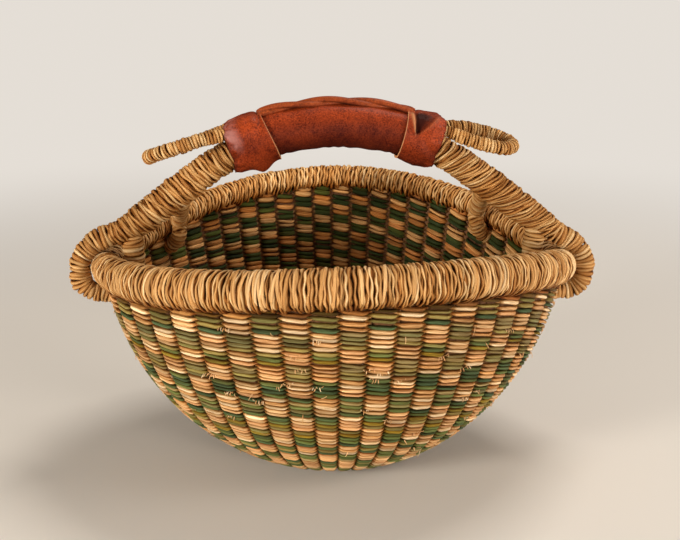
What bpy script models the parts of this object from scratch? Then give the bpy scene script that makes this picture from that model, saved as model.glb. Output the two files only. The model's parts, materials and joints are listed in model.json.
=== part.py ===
"""Bolga basket: a woven straw bowl with a bound rim and an arched, leather-covered handle."""

import math

import bmesh
import bpy
import numpy as np

# Driving sizes, in metres unless the name says count, share or angle

clearance = 0.0003
overrun = 0.004
merge_distance = 0.00001
slope_step_angle = 0.004
crease_angle = math.radians(50)

# Rim: an oval saddle, low at the two ends where the handle pulls on it
rim_half_length = 0.1535
rim_half_depth = 0.129
rim_end_height = 0.131
rim_front_height = 0.1535
rim_rear_height = 0.1645
rim_pointed_share = 1.35
rim_saddle_share = 1.62
rim_end_lean = 0.0028
rim_side_lean_share = 0.03
rim_front_half_width = 0.0112
rim_front_half_thickness = 0.0132
rim_rear_half_width = 0.0102
rim_rear_half_thickness = 0.0088
rim_end_half_width = 0.0100
rim_end_half_thickness = 0.0100
rim_binding_wall = 0.0027
rim_side_count = 8
rim_seat_gap = 0.0014
rim_flare_angle = math.radians(12)

# Bowl: its columns are closer at the rear
front_column_count = 21
rear_column_count = 25
column_crowding_share = 0.14
wall_row_count = 6
wall_thickness = 0.0090
rib_depth = 0.0008
base_radius = 0.039
base_thickness = 0.0100
base_flat_share = 0.85
belly_rise_angle = math.radians(8)
belly_reach = 0.0535
flank_reach = 0.0815

# Stakes, which cross under the base in two layers
front_end_column_count = 5
stake_half_width = 0.0012

# Handle
grip_height = 0.2271
ring_overhang = 0.0180
arm_radius = 0.0109
grip_share = 1.12
arm_lean_start = 0.138
arch_row_count = 37
ring_row_count = 20
binding_wall = 0.0024
rear_leg_radius = 0.0062
rear_ring_radius = 0.0056
rear_leg_top_reach = 0.1015
rear_leg_column_count = 4
rear_leg_row_count = 18
leg_end_row_count = 3
rear_ring_gap = 0.0017
rear_ring_start_angle = math.radians(175)
rear_ring_end_angle = math.radians(472)

# Leather
leather_wall = 0.0018
leather_side_count = 12
sleeve_half_length = 0.0500
cuff_inner_reach = 0.0455
cuff_outer_reach = 0.0690
cuff_slack_share = 1.05

# Lace
lace_half_length = 0.0430
lace_radius = 0.0014
lace_turn_radius = 0.0016
lace_turn_count = 1.5
lace_row_count = 18

# Finger loops
loop_strand_radius = 0.0046
loop_left_length = 0.0523
loop_right_length = 0.0464
loop_half_width = 0.0135
loop_row_count = 27
tail_start_reach = 0.0550
tail_inner_spread = 0.0078
tail_inner_lift = 0.0132
tail_inner_radius = 0.0030
tail_outer_spread = 0.0105
tail_outer_lift = 0.0152
tail_outer_radius = 0.0040
loop_bow_shares = [(0.25, 0.6), (0.5, 1.0), (0.75, 0.8), (0.93, -0.25)]
loop_left_slope_angle = math.radians(17.5)
loop_right_slope_angle = math.radians(14)
loop_left_roll_angle = math.radians(17)
loop_right_roll_angle = math.radians(-10)

# Colours, roughness
straw_colour = (0.60, 0.38, 0.17)
stake_colour = (0.52, 0.34, 0.16)
weave_colour = (0.34, 0.33, 0.15)
core_colour = (0.45, 0.29, 0.13)
leather_colour = (0.27, 0.07, 0.03)
lace_colour = (0.20, 0.05, 0.025)


column_count = front_column_count + rear_column_count
rear_end_column_count = front_end_column_count + (rear_column_count - front_column_count) // 2
ring_reach = rim_half_length + ring_overhang
slot_half_width = (wall_thickness + rib_depth) / 2 + clearance
slot_inner_angle = math.acos(slot_half_width / (rim_end_half_width - rim_binding_wall))

for old in list(bpy.data.objects):
    bpy.data.objects.remove(old)
parts = bpy.data.collections.new("bolga_basket")
cutters = bpy.data.collections.new("cutters")
bpy.context.scene.collection.children.link(parts)
bpy.context.scene.collection.children.link(cutters)


def material(name, colour, roughness):
    """A plain surface of one colour."""
    made = bpy.data.materials.new(name)
    made.use_nodes = True
    shader = made.node_tree.nodes["Principled BSDF"]
    shader.inputs["Base Color"].default_value = (*colour, 1)
    shader.inputs["Roughness"].default_value = roughness
    return made


straw = material("straw", straw_colour, 0.62)
stake_straw = material("stake_straw", stake_colour, 0.7)
weave = material("weave", weave_colour, 0.66)
core_straw = material("core_straw", core_colour, 0.75)
leather = material("leather", leather_colour, 0.45)
lace_leather = material("lace_leather", lace_colour, 0.5)


def add_part(name, data, finish):
    """Links one named piece into the object's collection."""
    piece = bpy.data.objects.new(name, data)
    data.materials.clear()
    data.materials.append(finish)
    parts.objects.link(piece)
    return piece


def add_cutter(name, data):
    """Links one cutting solid, kept out of the model."""
    cutter = bpy.data.objects.new(name, data)
    cutter.hide_render = True
    cutter.display_type = "WIRE"
    cutters.objects.link(cutter)
    return cutter


def cut(piece, cutter):
    """Takes the cutter's volume out of the piece."""
    step = piece.modifiers.new("cut_" + cutter.name, "BOOLEAN")
    step.operation = "DIFFERENCE"
    step.object = cutter


def smooth(mesh, angle):
    """Shades a round piece smooth, with its hard edges kept."""
    mesh.shade_smooth()
    mesh.set_sharp_from_angle(angle=angle)


def unit(rows):
    """Rows of vectors, each at length one."""
    return rows / np.linalg.norm(rows, axis=-1, keepdims=True)


# Rim line and its section


def column_stations(numbers):
    """Station of a place counted in columns, from the right end round by the rear."""
    rear = numbers / (2 * rear_column_count)
    front = 0.5 + (numbers - rear_column_count) / (2 * front_column_count)
    return np.where(numbers < rear_column_count, rear, front)


def rim_angles(stations):
    """Angle of each station. A station is a share of the way round, evened out by length along the oval,
    then crowded towards front and rear and thinned towards the two ends."""
    steps = np.linspace(0, math.pi / 2, 400)
    across = rim_half_length * np.cos(steps)
    along = rim_half_depth * np.sin(steps) ** rim_pointed_share
    lengths = np.concatenate([[0], np.cumsum(np.hypot(np.diff(across), np.diff(along)))])
    shares = stations + column_crowding_share / (4 * math.pi) * np.sin(4 * math.pi * stations)
    quarters = np.floor(shares * 4 + 1e-9)
    rest = shares * 4 - quarters
    mirrored = np.mod(quarters, 2) == 1
    rest = np.where(mirrored, 1 - rest, rest)
    angle = np.interp(rest * lengths[-1], lengths, steps)
    return np.where(mirrored, (quarters + 1) * math.pi / 2 - angle, quarters * math.pi / 2 + angle)


def rim_line(angles):
    """Centre line of the rim: an oval drawn to soft points at its ends, saddled, a little out of level."""
    side = np.sin(angles)
    end = np.cos(angles)
    middle_height = np.where(side > 0, rim_rear_height, rim_front_height)
    x = rim_half_length * end
    y = rim_half_depth * np.sign(side) * np.abs(side) ** rim_pointed_share
    z = rim_end_height + (middle_height - rim_end_height) * np.abs(side) ** rim_saddle_share
    z = z - rim_end_lean * np.sign(end) * np.abs(end) ** 6 + rim_side_lean_share * x * np.abs(side)
    return np.stack([x, y, z], axis=-1)


def rim_axes(angles):
    """Two axes of the rim's section: outward and upward, both tipped by the flare of the wall."""
    run = rim_line(angles + slope_step_angle) - rim_line(angles - slope_step_angle)
    outward = unit(np.stack([run[:, 1], -run[:, 0], 0 * run[:, 0]], axis=-1))
    up = np.array([0.0, 0.0, 1.0])
    across = outward * math.cos(rim_flare_angle) - up * math.sin(rim_flare_angle)
    rise = outward * math.sin(rim_flare_angle) + up * math.cos(rim_flare_angle)
    return across, rise


def rim_halves(angles):
    """Half width and half thickness of the rim, which is squeezed at its two ends."""
    fullness = 1 - (1 - np.abs(np.sin(angles))) ** 3
    rear = np.sin(angles) > 0
    widest = np.where(rear, rim_rear_half_width, rim_front_half_width)
    thickest = np.where(rear, rim_rear_half_thickness, rim_front_half_thickness)
    width = rim_end_half_width + (widest - rim_end_half_width) * fullness
    thickness = rim_end_half_thickness + (thickest - rim_end_half_thickness) * fullness
    return width, thickness


def rim_section(angles, inset, turns):
    """Rings of points round the rim at an inset from its skin; turns are the angles round the section."""
    centre = rim_line(angles)
    across, rise = rim_axes(angles)
    width, thickness = rim_halves(angles)
    sideways = (width - inset)[:, None, None] * np.cos(turns)[None, :, None]
    upwards = (thickness - inset)[:, None, None] * np.sin(turns)[None, :, None]
    return centre[:, None] + across[:, None] * sideways + rise[:, None] * upwards


def loft(name, rings, finish):
    """Skins a row of point rings that closes on itself."""
    mesh = bpy.data.meshes.new(name)
    index = np.arange(rings.size // 3).reshape(rings.shape[:2])
    ahead = np.roll(index, -1, axis=0)
    corners = [index, np.roll(index, -1, axis=1), np.roll(ahead, -1, axis=1), ahead]
    mesh.from_pydata(rings.reshape(-1, 3).tolist(), [], np.stack(corners, axis=-1).reshape(-1, 4).tolist())
    face_outwards(mesh)
    smooth(mesh, crease_angle)
    return add_part(name, mesh, finish)


def face_outwards(mesh):
    """Turns every face of a closed mesh outwards."""
    work = bmesh.new()
    work.from_mesh(mesh)
    bmesh.ops.recalc_face_normals(work, faces=work.faces)
    work.to_mesh(mesh)
    work.free()


# Bowl


def wall_point(stations, level):
    """Middle surface of the wall: a cubic curve from the base ring, nearly flat at first, then steeper,
    to the foot of the rim, where it arrives at the flare angle. Level runs from 0 to 1."""
    angles = rim_angles(stations)
    turn = 2 * math.pi * stations
    ray = np.stack([np.cos(turn), np.sin(turn), 0 * turn], axis=-1)
    up = np.array([0.0, 0.0, 1.0])
    rise = rim_axes(angles)[1]
    thickness = rim_halves(angles)[1]
    drop = (thickness - rim_binding_wall - clearance) * math.sin(slot_inner_angle) + rim_seat_gap
    start = ray * base_radius + up * base_thickness / 2
    lift = ray * math.cos(belly_rise_angle) + up * math.sin(belly_rise_angle)
    second = start + lift * belly_reach
    end = rim_line(angles) - rise * drop[:, None]
    third = end - rise * flank_reach
    back = 1 - level
    return back**3 * start + 3 * back**2 * level * second + 3 * back * level**2 * third + level**3 * end


def build_bowl():
    """The woven shell: an open sheet, ribbed by its columns, given its thickness on both sides."""
    station_count = 2 * column_count
    stations = column_stations(np.arange(station_count) / 2)
    turn = 2 * math.pi * stations
    flat = np.stack([np.cos(turn), np.sin(turn), 0 * turn], axis=-1) * base_radius * base_flat_share
    flat[:, 2] = base_thickness / 2
    levels = np.arange(wall_row_count + 1) / wall_row_count
    rows = [flat] + [wall_point(stations, level) for level in levels]
    points = np.concatenate([row for row in rows] + [[[0, 0, base_thickness / 2]]])
    index = np.arange(len(rows) * station_count).reshape(len(rows), station_count)
    quads = np.stack(
        [index[:-1], np.roll(index[:-1], -1, axis=1), np.roll(index[1:], -1, axis=1), index[1:]], axis=-1
    )
    hub = len(points) - 1
    fan = [[hub, int(index[0][(k + 1) % station_count]), int(index[0][k])] for k in range(station_count)]
    mesh = bpy.data.meshes.new("woven_bowl")
    mesh.from_pydata(points.tolist(), [], quads.reshape(-1, 4).tolist() + fan)
    bowl = add_part("woven_bowl", mesh, weave)
    on_rib = np.arange(station_count) % 2 == 1
    ridge = np.where(on_rib, wall_thickness + rib_depth, wall_thickness - rib_depth)
    widest = max(base_thickness, wall_thickness + rib_depth)
    group = bowl.vertex_groups.new(name="thickness")
    for row in range(len(rows)):
        grown = min(1, max(0, row - 1))
        for k in range(station_count):
            here = base_thickness + (ridge[k] - base_thickness) * grown
            group.add([int(index[row][k])], here / widest, "REPLACE")
    group.add([hub], base_thickness / widest, "REPLACE")
    shell = bowl.modifiers.new("thickness", "SOLIDIFY")
    shell.thickness = widest
    shell.offset = 0
    shell.vertex_group = group.name
    return bowl


# Tubes


def eased_path(controls, count):
    """A smooth line through the control rows, which hold x, y, z and radius, in even steps of length."""
    rows = np.array(controls)
    padded = np.concatenate([[2 * rows[0] - rows[1]], rows, [2 * rows[-1] - rows[-2]]])
    fine = []
    for k in range(len(rows) - 1):
        before, here, there, after = padded[k : k + 4]
        for share in np.arange(24) / 24:
            fine.append(
                here
                + 0.5 * share * (there - before)
                + share**2 * (before - 2.5 * here + 2 * there - 0.5 * after)
                + share**3 * (1.5 * here - 1.5 * there + 0.5 * after - 0.5 * before)
            )
    fine = np.array(fine + [rows[-1]])
    lengths = np.concatenate([[0], np.cumsum(np.linalg.norm(np.diff(fine[:, :3], axis=0), axis=1))])
    even = np.linspace(0, lengths[-1], count)
    return np.stack([np.interp(even, lengths, fine[:, axis]) for axis in range(4)], axis=-1)


def tube_curve(name, rows, rounding, tilt=0.0):
    """A capped round rod along the rows of x, y, z and radius."""
    curve = bpy.data.curves.new(name, "CURVE")
    curve.dimensions = "3D"
    curve.twist_mode = "Z_UP" if tilt else "MINIMUM"
    curve.bevel_depth = float(rows[0][3])
    curve.bevel_resolution = rounding
    curve.use_fill_caps = True
    spline = curve.splines.new("POLY")
    spline.points.add(len(rows) - 1)
    for point, row in zip(spline.points, rows):
        point.co = (*row[:3], 1)
        point.radius = row[3] / curve.bevel_depth
        point.tilt = tilt
    return curve


def tube_mesh(name, rows, rounding, tilt=0.0):
    """The same rod as a closed mesh, so that it can be cut or can cut."""
    source = bpy.data.objects.new(name + "_line", tube_curve(name + "_line", rows, rounding, tilt))
    parts.objects.link(source)
    bpy.context.view_layer.update()
    mesh = bpy.data.meshes.new_from_object(source.evaluated_get(bpy.context.evaluated_depsgraph_get()))
    bpy.data.objects.remove(source)
    mesh.name = name
    work = bmesh.new()
    work.from_mesh(mesh)
    bmesh.ops.remove_doubles(work, verts=work.verts, dist=merge_distance)
    bmesh.ops.recalc_face_normals(work, faces=work.faces)
    work.to_mesh(mesh)
    work.free()
    return mesh


def thicker(rows, extra):
    """The same line with its radius changed."""
    grown = rows.copy()
    grown[:, 3] += extra
    return grown


def longer(rows, extra):
    """The same line with both ends run on straight."""
    first = rows[0].copy()
    last = rows[-1].copy()
    first[:3] += unit(rows[0, :3] - rows[1, :3]) * extra
    last[:3] += unit(rows[-1, :3] - rows[-2, :3]) * extra
    return np.concatenate([[first], rows, [last]])


def trimmed(rows):
    """The same line, started later by the clearance."""
    shorter = rows.copy()
    shorter[0, :3] += unit(rows[1, :3] - rows[0, :3]) * clearance
    return shorter


def hollow_binding(name, rows, wall):
    """A wrapped skin of straw: a tube with an open bore, round a core."""
    mesh = tube_mesh(name, rows, 2)
    smooth(mesh, crease_angle)
    piece = add_part(name, mesh, straw)
    bore = add_cutter(name + "_bore", tube_mesh(name + "_bore", longer(thicker(rows, -wall), overrun), 1))
    cut(piece, bore)
    return piece


# Handle line for one side, from the middle of the grip to the end of the inner leg. Each row is a share of
# the ring's reach, of the grip's height and of the arm's radius.


def side_height(reach, height, side):
    """Height of a point near the end of the rim, which follows the lean of that end."""
    eased = np.clip((reach - arm_lean_start) / (rim_half_length - arm_lean_start), 0, 1)
    return height - side * rim_end_lean * eased


arch_shares = [
    (0.0000, 1.0000, grip_share),
    (0.2012, 0.9837, grip_share),
    (0.2915, 0.9613, grip_share),
    (0.3324, 0.9476, 0.936),
    (0.4449, 0.9005, 0.936),
    (0.5149, 0.8657, 0.963),
    (0.6472, 0.7913, 1.000),
    (0.7522, 0.7310, 0.945),
    (0.8280, 0.6944, 0.798),
    (0.8834, 0.6724, 0.679),
]
ring_shares = [
    (0.9230, 0.6592, 0.642),
    (0.9621, 0.6350, 0.606),
    (0.9930, 0.5980, 0.606),
    (1.0000, 0.5557, 0.606),
    (0.9872, 0.5240, 0.606),
    (0.9504, 0.5024, 0.550),
    (0.9038, 0.4958, 0.495),
    (0.8455, 0.4932, 0.495),
    (0.8035, 0.5037, 0.532),
    (0.7843, 0.5350, 0.587),
    (0.7831, 0.5812, 0.587),
    (0.7883, 0.6297, 0.587),
    (0.7959, 0.6869, 0.587),
]


def on_side(shares, side):
    """Rows of x, y, z and radius for one side of the handle, in the plane of the arch."""
    rows = []
    for reach_share, height_share, radius_share in shares:
        reach = reach_share * ring_reach
        height = side_height(reach, height_share * grip_height, side)
        rows.append((side * reach, 0.0, height, radius_share * arm_radius))
    return rows


grip_binding_radius = grip_share * arm_radius
arch_rows = eased_path(on_side(arch_shares[:0:-1], -1) + on_side(arch_shares, 1), arch_row_count)
ring_rows = {
    side: eased_path(on_side(arch_shares[-1:] + ring_shares, side), ring_row_count) for side in (-1, 1)
}
side_names = {-1: "left", 1: "right"}


def rear_leg_line(side):
    """Line of a rear leg: from under the arm down to the rim, under it through the wall, up outside and
    over the rim. It goes through the wall in the valley between two columns."""
    share = float(column_stations(rear_leg_column_count))
    station = np.array([share if side > 0 else 0.5 - share])
    angles = rim_angles(station)
    centre = rim_line(angles)[0]
    across, rise = (axis[0] for axis in rim_axes(angles))
    width, thickness = (half[0] for half in rim_halves(angles))
    half_across = width + rear_ring_gap + rear_ring_radius
    half_rise = thickness + rear_ring_gap + rear_ring_radius
    ring = []
    for turn in np.linspace(rear_ring_start_angle, rear_ring_end_angle, 12):
        point = centre + across * half_across * math.cos(turn) + rise * half_rise * math.sin(turn)
        ring.append((*point, rear_ring_radius))
    top = arch_rows_between(side * rear_leg_top_reach, side * rear_leg_top_reach, 1)[0, :3]
    middle = (top + ring[0][:3]) / 2
    return eased_path([(*top, rear_leg_radius), (*middle, rear_leg_radius)] + ring, rear_leg_row_count)


def build_stakes():
    """Stakes run from rim to rim, in two layers that cross in the base, each one up a pair of columns."""
    levels = np.arange(wall_row_count, -1, -1) / wall_row_count
    lengthwise_count = front_end_column_count + rear_end_column_count
    crosswise_sum = column_count + rear_end_column_count - front_end_column_count
    layer_step = (base_thickness - 4 * stake_half_width) / 3 + 2 * stake_half_width
    tunnels = bmesh.new()
    for number in range(column_count // 2):
        lengthwise = number < lengthwise_count
        first = number - front_end_column_count + 0.5
        opposite = rear_column_count if lengthwise else crosswise_sum
        layer = base_thickness / 2 + layer_step / 2 * (-1 if lengthwise else 1)
        halves = []
        for place in (first, opposite - first):
            station = column_stations(np.array([place % column_count]))
            line = np.concatenate([wall_point(station, level) for level in levels])
            line[-1, 2] = layer
            halves.append(line)
        line = np.concatenate([halves[0], halves[1][::-1]])
        corner = math.sqrt(2)
        rows = np.column_stack([line, np.full(len(line), stake_half_width * corner)])
        direction = "x" if lengthwise else "y"
        name = f"stake_{direction}_{number % lengthwise_count + 1:02d}"
        add_part(name, tube_curve(name, rows, 0, math.pi / 4), stake_straw)
        wide = longer(thicker(rows, clearance * corner), overrun)
        tunnel = tube_mesh("tunnel", wide, 0, math.pi / 4)
        tunnels.from_mesh(tunnel)
        bpy.data.meshes.remove(tunnel)
    merged = bpy.data.meshes.new("stake_tunnels")
    tunnels.to_mesh(merged)
    tunnels.free()
    return add_cutter("stake_tunnels", merged)


def build_rim():
    """The rim: a solid bundle, and a wrapped skin round it, open underneath for the wall to enter."""
    angles = rim_angles(column_stations(np.arange(2 * column_count) / 2))
    outer_start = math.acos(slot_half_width / rim_end_half_width)
    core_turns = np.linspace(-slot_inner_angle, math.pi + slot_inner_angle, rim_side_count - 2)
    loft("rim_core", rim_section(angles, rim_binding_wall + clearance, core_turns), core_straw)
    outer = rim_section(angles, 0, np.linspace(-outer_start, math.pi + outer_start, rim_side_count))
    inner = rim_section(angles, rim_binding_wall, core_turns[::-1])
    loft("rim_binding", np.concatenate([outer, inner], axis=1), straw)


def frames(rows, uprightness=0.0):
    """Axes across a line in the plane of the arch: sideways is Y, upwards is square to the line, or
    turned towards the vertical by the uprightness."""
    run = unit(np.gradient(rows[:, :3], axis=0))
    sideways = np.tile([0.0, 1.0, 0.0], (len(rows), 1))
    upwards = np.cross(run, sideways)
    upwards *= np.sign(upwards[:, 2:3])
    return sideways, unit(upwards + np.array([0.0, 0.0, uprightness]))


def arch_rows_between(start, end, count):
    """Stretch of the handle's line between two reaches along X."""
    reach = np.linspace(start, end, count)
    return np.stack([np.interp(reach, arch_rows[:, 0], arch_rows[:, axis]) for axis in range(4)], axis=-1)


def arch_stretch(start, end, extra=()):
    """Stretch of the handle's line on its own points, so that what covers it follows the same chords."""
    low, high = min(start, end), max(start, end)
    inner = [x for x in arch_rows[:, 0] if low + overrun / 4 < x < high - overrun / 4]
    reach = np.array(sorted({start, end, *inner, *extra}, reverse=end < start))
    return np.stack([np.interp(reach, arch_rows[:, 0], arch_rows[:, axis]) for axis in range(4)], axis=-1)


def leather_shell(name, rows, sections, uprightness=0.0):
    """A bent tube of leather. Each section is the outline drawn tight round a few circles, which are
    given as sideways place, upwards place and radius; the wall is added outside."""
    sideways, upwards = frames(rows, uprightness)
    turns = np.arange(leather_side_count) * 2 * math.pi / leather_side_count
    ways = np.stack([np.cos(turns), np.sin(turns)], axis=-1)
    corner_share = 1 / math.cos(math.pi / leather_side_count)

    def rings(extra):
        made = []
        for row, across, rise, circles in zip(rows, sideways, upwards, sections):
            circles = np.array(circles)
            reach = ways @ circles[:, :2].T + circles[:, 2]
            chosen = circles[np.argmax(reach, axis=1)]
            flat = chosen[:, :2] + ways * (chosen[:, 2:] * corner_share + extra)
            made.append(row[:3] + across * flat[:, :1] + rise * flat[:, 1:])
        return np.array(made)

    both = np.stack([rings(leather_wall), rings(0.0)])
    index = np.arange(both.size // 3).reshape(both.shape[:3])
    faces = []
    for here in index:
        corners = [here[:-1], np.roll(here[:-1], -1, axis=1), np.roll(here[1:], -1, axis=1), here[1:]]
        faces += np.stack(corners, axis=-1).reshape(-1, 4).tolist()
    for row in (0, -1):
        outside, inside = index[0][row], index[1][row]
        corners = [outside, np.roll(outside, -1), np.roll(inside, -1), inside]
        faces += np.stack(corners, axis=-1).tolist()
    mesh = bpy.data.meshes.new(name)
    mesh.from_pydata(both.reshape(-1, 3).tolist(), [], faces)
    face_outwards(mesh)
    smooth(mesh, crease_angle)
    return add_part(name, mesh, leather)


def tail_place(reach):
    """Where a loop's tail lies on the arm inside a cuff: sideways, upwards and radius."""
    share = np.clip((abs(reach) - tail_start_reach) / (cuff_outer_reach - tail_start_reach), 0, 1)
    spread = tail_inner_spread + (tail_outer_spread - tail_inner_spread) * share
    lift = tail_inner_lift + (tail_outer_lift - tail_inner_lift) * share
    return spread, lift, tail_inner_radius + (tail_outer_radius - tail_inner_radius) * share


def build_leather():
    """A sleeve over the grip and a cuff over each end of it, which also holds down the loops' tails."""
    bore = grip_binding_radius + clearance
    sleeve_rows = arch_stretch(-sleeve_half_length, sleeve_half_length)
    leather_shell("grip_sleeve", sleeve_rows, [[(0, 0, bore)]] * len(sleeve_rows))
    over_sleeve = (bore + leather_wall) * cuff_slack_share + clearance
    for side, side_name in side_names.items():
        rows = arch_stretch(
            side * cuff_inner_reach,
            side * cuff_outer_reach,
            (side * sleeve_half_length, side * tail_start_reach),
        )
        sections = []
        for row in rows:
            share = np.clip((abs(row[0]) - tail_start_reach) / (cuff_outer_reach - tail_start_reach), 0, 1)
            round_arm = over_sleeve + (row[3] * cuff_slack_share + clearance - over_sleeve) * share
            sideways, upwards, radius = tail_place(row[0])
            grown = np.clip((abs(row[0]) - sleeve_half_length) / clearance, 0, 1)
            circles = [(0, 0, round_arm)]
            if grown > 0:
                circles += [(way * sideways, upwards, radius + 2 * clearance) for way in (-1, 1)]
            sections.append(circles)
        leather_shell(f"cuff_{side_name}", rows, sections, 1.0)


def build_lace():
    """Two thongs twisted round each other along the top of the sleeve."""
    rows = arch_rows_between(-lace_half_length, lace_half_length, lace_row_count)
    sideways, upwards = frames(rows)
    skin = (grip_binding_radius + clearance) / math.cos(math.pi / leather_side_count) + leather_wall
    lift = skin + clearance + lace_turn_radius + lace_radius
    for start, letter in ((0, "a"), (math.pi, "b")):
        turn = start + np.linspace(0, 2 * math.pi * lace_turn_count, lace_row_count)
        line = rows[:, :3] + upwards * lift
        line = line + sideways * (lace_turn_radius * np.cos(turn))[:, None]
        line = line + upwards * (lace_turn_radius * np.sin(turn))[:, None]
        strand = np.column_stack([line, np.full(lace_row_count, lace_radius)])
        add_part(f"lace_strand_{letter}", tube_curve("lace", strand, 1), lace_leather)


def loop_line(side):
    """Line of a finger loop: a tail on top of the arm, out, round a wide bow and back along the other
    side. The bow slopes down outwards and is rolled about its own length."""
    roll = loop_left_roll_angle if side < 0 else loop_right_roll_angle
    slope = loop_left_slope_angle if side < 0 else loop_right_slope_angle
    length = loop_left_length if side < 0 else loop_right_length
    inside = arch_rows_between(side * tail_start_reach, side * cuff_outer_reach, 4)
    upwards = frames(inside, 1.0)[1]
    near = []
    far = []
    for row, rise in zip(inside, upwards):
        sideways, lift, radius = tail_place(row[0])
        place = row[:3] + rise * lift
        near.append((place[0], -sideways, place[2], radius))
        far.append((place[0], sideways, place[2], radius))
    root = np.array(far[-1])
    for share, spread in loop_bow_shares:
        x = root[0] + side * length * share * math.cos(slope)
        z = root[2] - length * share * math.sin(slope)
        reach = root[1] + (loop_half_width - root[1]) * spread if spread > 0 else root[1] * (1 + spread)
        turned = min(1, share * 3) * reach * math.tan(roll)
        far.append((x, reach, z - turned, loop_strand_radius))
        near.append((x, -reach, z + turned, loop_strand_radius))
    tip = (
        root[0] + side * length * math.cos(slope),
        0.0,
        root[2] - length * math.sin(slope),
        loop_strand_radius,
    )
    return eased_path(far + [tip] + near[::-1], loop_row_count)


# Assembly

bowl = build_bowl()
cut(bowl, build_stakes())
build_rim()

legs = {side: ring_rows[side][:-leg_end_row_count] for side in side_names}
core_line = np.concatenate([legs[-1][::-1], arch_rows[1:-1], legs[1]])
core_curve = tube_curve("handle_core", thicker(core_line, -binding_wall - clearance), 1)
add_part("handle_core", core_curve, core_straw)
handle_binding = hollow_binding("handle_binding", arch_rows, binding_wall)
arm_space = add_cutter("arm_space", tube_mesh("arm_space", thicker(arch_rows, clearance), 2))

for side, side_name in side_names.items():
    ring = hollow_binding(f"tip_ring_binding_{side_name}", trimmed(ring_rows[side]), binding_wall)
    cut(ring, arm_space)
    ring_space = add_cutter(
        f"ring_space_{side_name}", tube_mesh("ring_space", thicker(ring_rows[side], clearance), 2)
    )
    cut(bowl, ring_space)
    leg_rows = rear_leg_line(side)
    leg = hollow_binding(f"rear_leg_binding_{side_name}", leg_rows, binding_wall)
    cut(leg, arm_space)
    widened = thicker(leg_rows, clearance)
    leg_space = add_cutter(f"leg_space_{side_name}", tube_mesh("leg_space", widened, 2))
    cut(bowl, leg_space)
    leg_core_rows = thicker(leg_rows, -binding_wall - clearance)
    leg_core = add_part(f"rear_leg_core_{side_name}", tube_mesh("leg_core", leg_core_rows, 1), core_straw)
    cut(leg_core, arm_space)
    loop_rows = loop_line(side)
    hollow_binding(f"loop_binding_{side_name}", loop_rows, binding_wall - clearance)
    loop_core_rows = thicker(loop_rows, -binding_wall)
    add_part(f"loop_core_{side_name}", tube_curve("loop_core", loop_core_rows, 1), core_straw)

build_leather()
build_lace()
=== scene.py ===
"""Looks of the bolga basket: every weaving straw, every turn of the wrappings, the leather and its lace,
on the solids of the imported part. All lengths are in metres."""

import json
import math

import bpy
import numpy as np
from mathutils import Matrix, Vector

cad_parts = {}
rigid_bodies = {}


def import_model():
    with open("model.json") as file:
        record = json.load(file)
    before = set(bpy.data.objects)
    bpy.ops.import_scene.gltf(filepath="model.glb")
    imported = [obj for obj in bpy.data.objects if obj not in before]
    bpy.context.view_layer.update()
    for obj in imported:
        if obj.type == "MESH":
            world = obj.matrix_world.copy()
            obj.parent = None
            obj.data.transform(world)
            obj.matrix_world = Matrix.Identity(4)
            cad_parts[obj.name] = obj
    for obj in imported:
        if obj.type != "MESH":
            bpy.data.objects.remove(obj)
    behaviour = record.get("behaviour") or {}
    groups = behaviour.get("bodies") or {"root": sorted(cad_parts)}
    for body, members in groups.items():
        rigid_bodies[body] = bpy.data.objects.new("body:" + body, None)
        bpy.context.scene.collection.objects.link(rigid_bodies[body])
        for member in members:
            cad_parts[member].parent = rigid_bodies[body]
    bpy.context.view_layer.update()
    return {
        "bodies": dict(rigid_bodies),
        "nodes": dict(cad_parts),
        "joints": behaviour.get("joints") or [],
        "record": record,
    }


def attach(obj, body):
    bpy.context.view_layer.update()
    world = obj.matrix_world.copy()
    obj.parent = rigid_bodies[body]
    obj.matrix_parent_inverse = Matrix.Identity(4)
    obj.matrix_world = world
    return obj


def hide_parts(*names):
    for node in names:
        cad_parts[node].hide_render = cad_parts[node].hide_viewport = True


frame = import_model()

UP = np.array([0.0, 0.0, 1.0])

# Camera, as the photograph was taken

CAMERA_TARGET = (0.0, 0.0, 0.12)
CAMERA_DISTANCE = 0.90
CAMERA_PITCH = math.radians(16.5)
CAMERA_TURN = math.radians(-4.9)
CAMERA_LENS = 70.0
CAMERA_SHIFT = (4 / 680, 11 / 680)

# Sizes of the rim, the wall and the handle, as in the solid model

RIM_HALF_LENGTH = 0.1535
RIM_HALF_DEPTH = 0.129
RIM_END_HEIGHT = 0.131
RIM_FRONT_HEIGHT = 0.1535
RIM_REAR_HEIGHT = 0.1645
RIM_POINTED_SHARE = 1.35
RIM_SADDLE_SHARE = 1.62
RIM_END_LEAN = 0.0028
RIM_SIDE_LEAN_SHARE = 0.03
RIM_FRONT_HALVES = (0.0112, 0.0132)
RIM_REAR_HALVES = (0.0102, 0.0088)
RIM_END_HALVES = (0.0100, 0.0100)
RIM_FLARE_ANGLE = math.radians(12)
FRONT_COLUMN_COUNT = 21
REAR_COLUMN_COUNT = 25
COLUMN_COUNT = FRONT_COLUMN_COUNT + REAR_COLUMN_COUNT
COLUMN_CROWDING_SHARE = 0.14
WALL_DROP = 0.0060
BASE_RADIUS = 0.039
BASE_MIDDLE = 0.0050
BELLY_RISE_ANGLE = math.radians(8)
BELLY_REACH = 0.0535
FLANK_REACH = 0.0815

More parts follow.
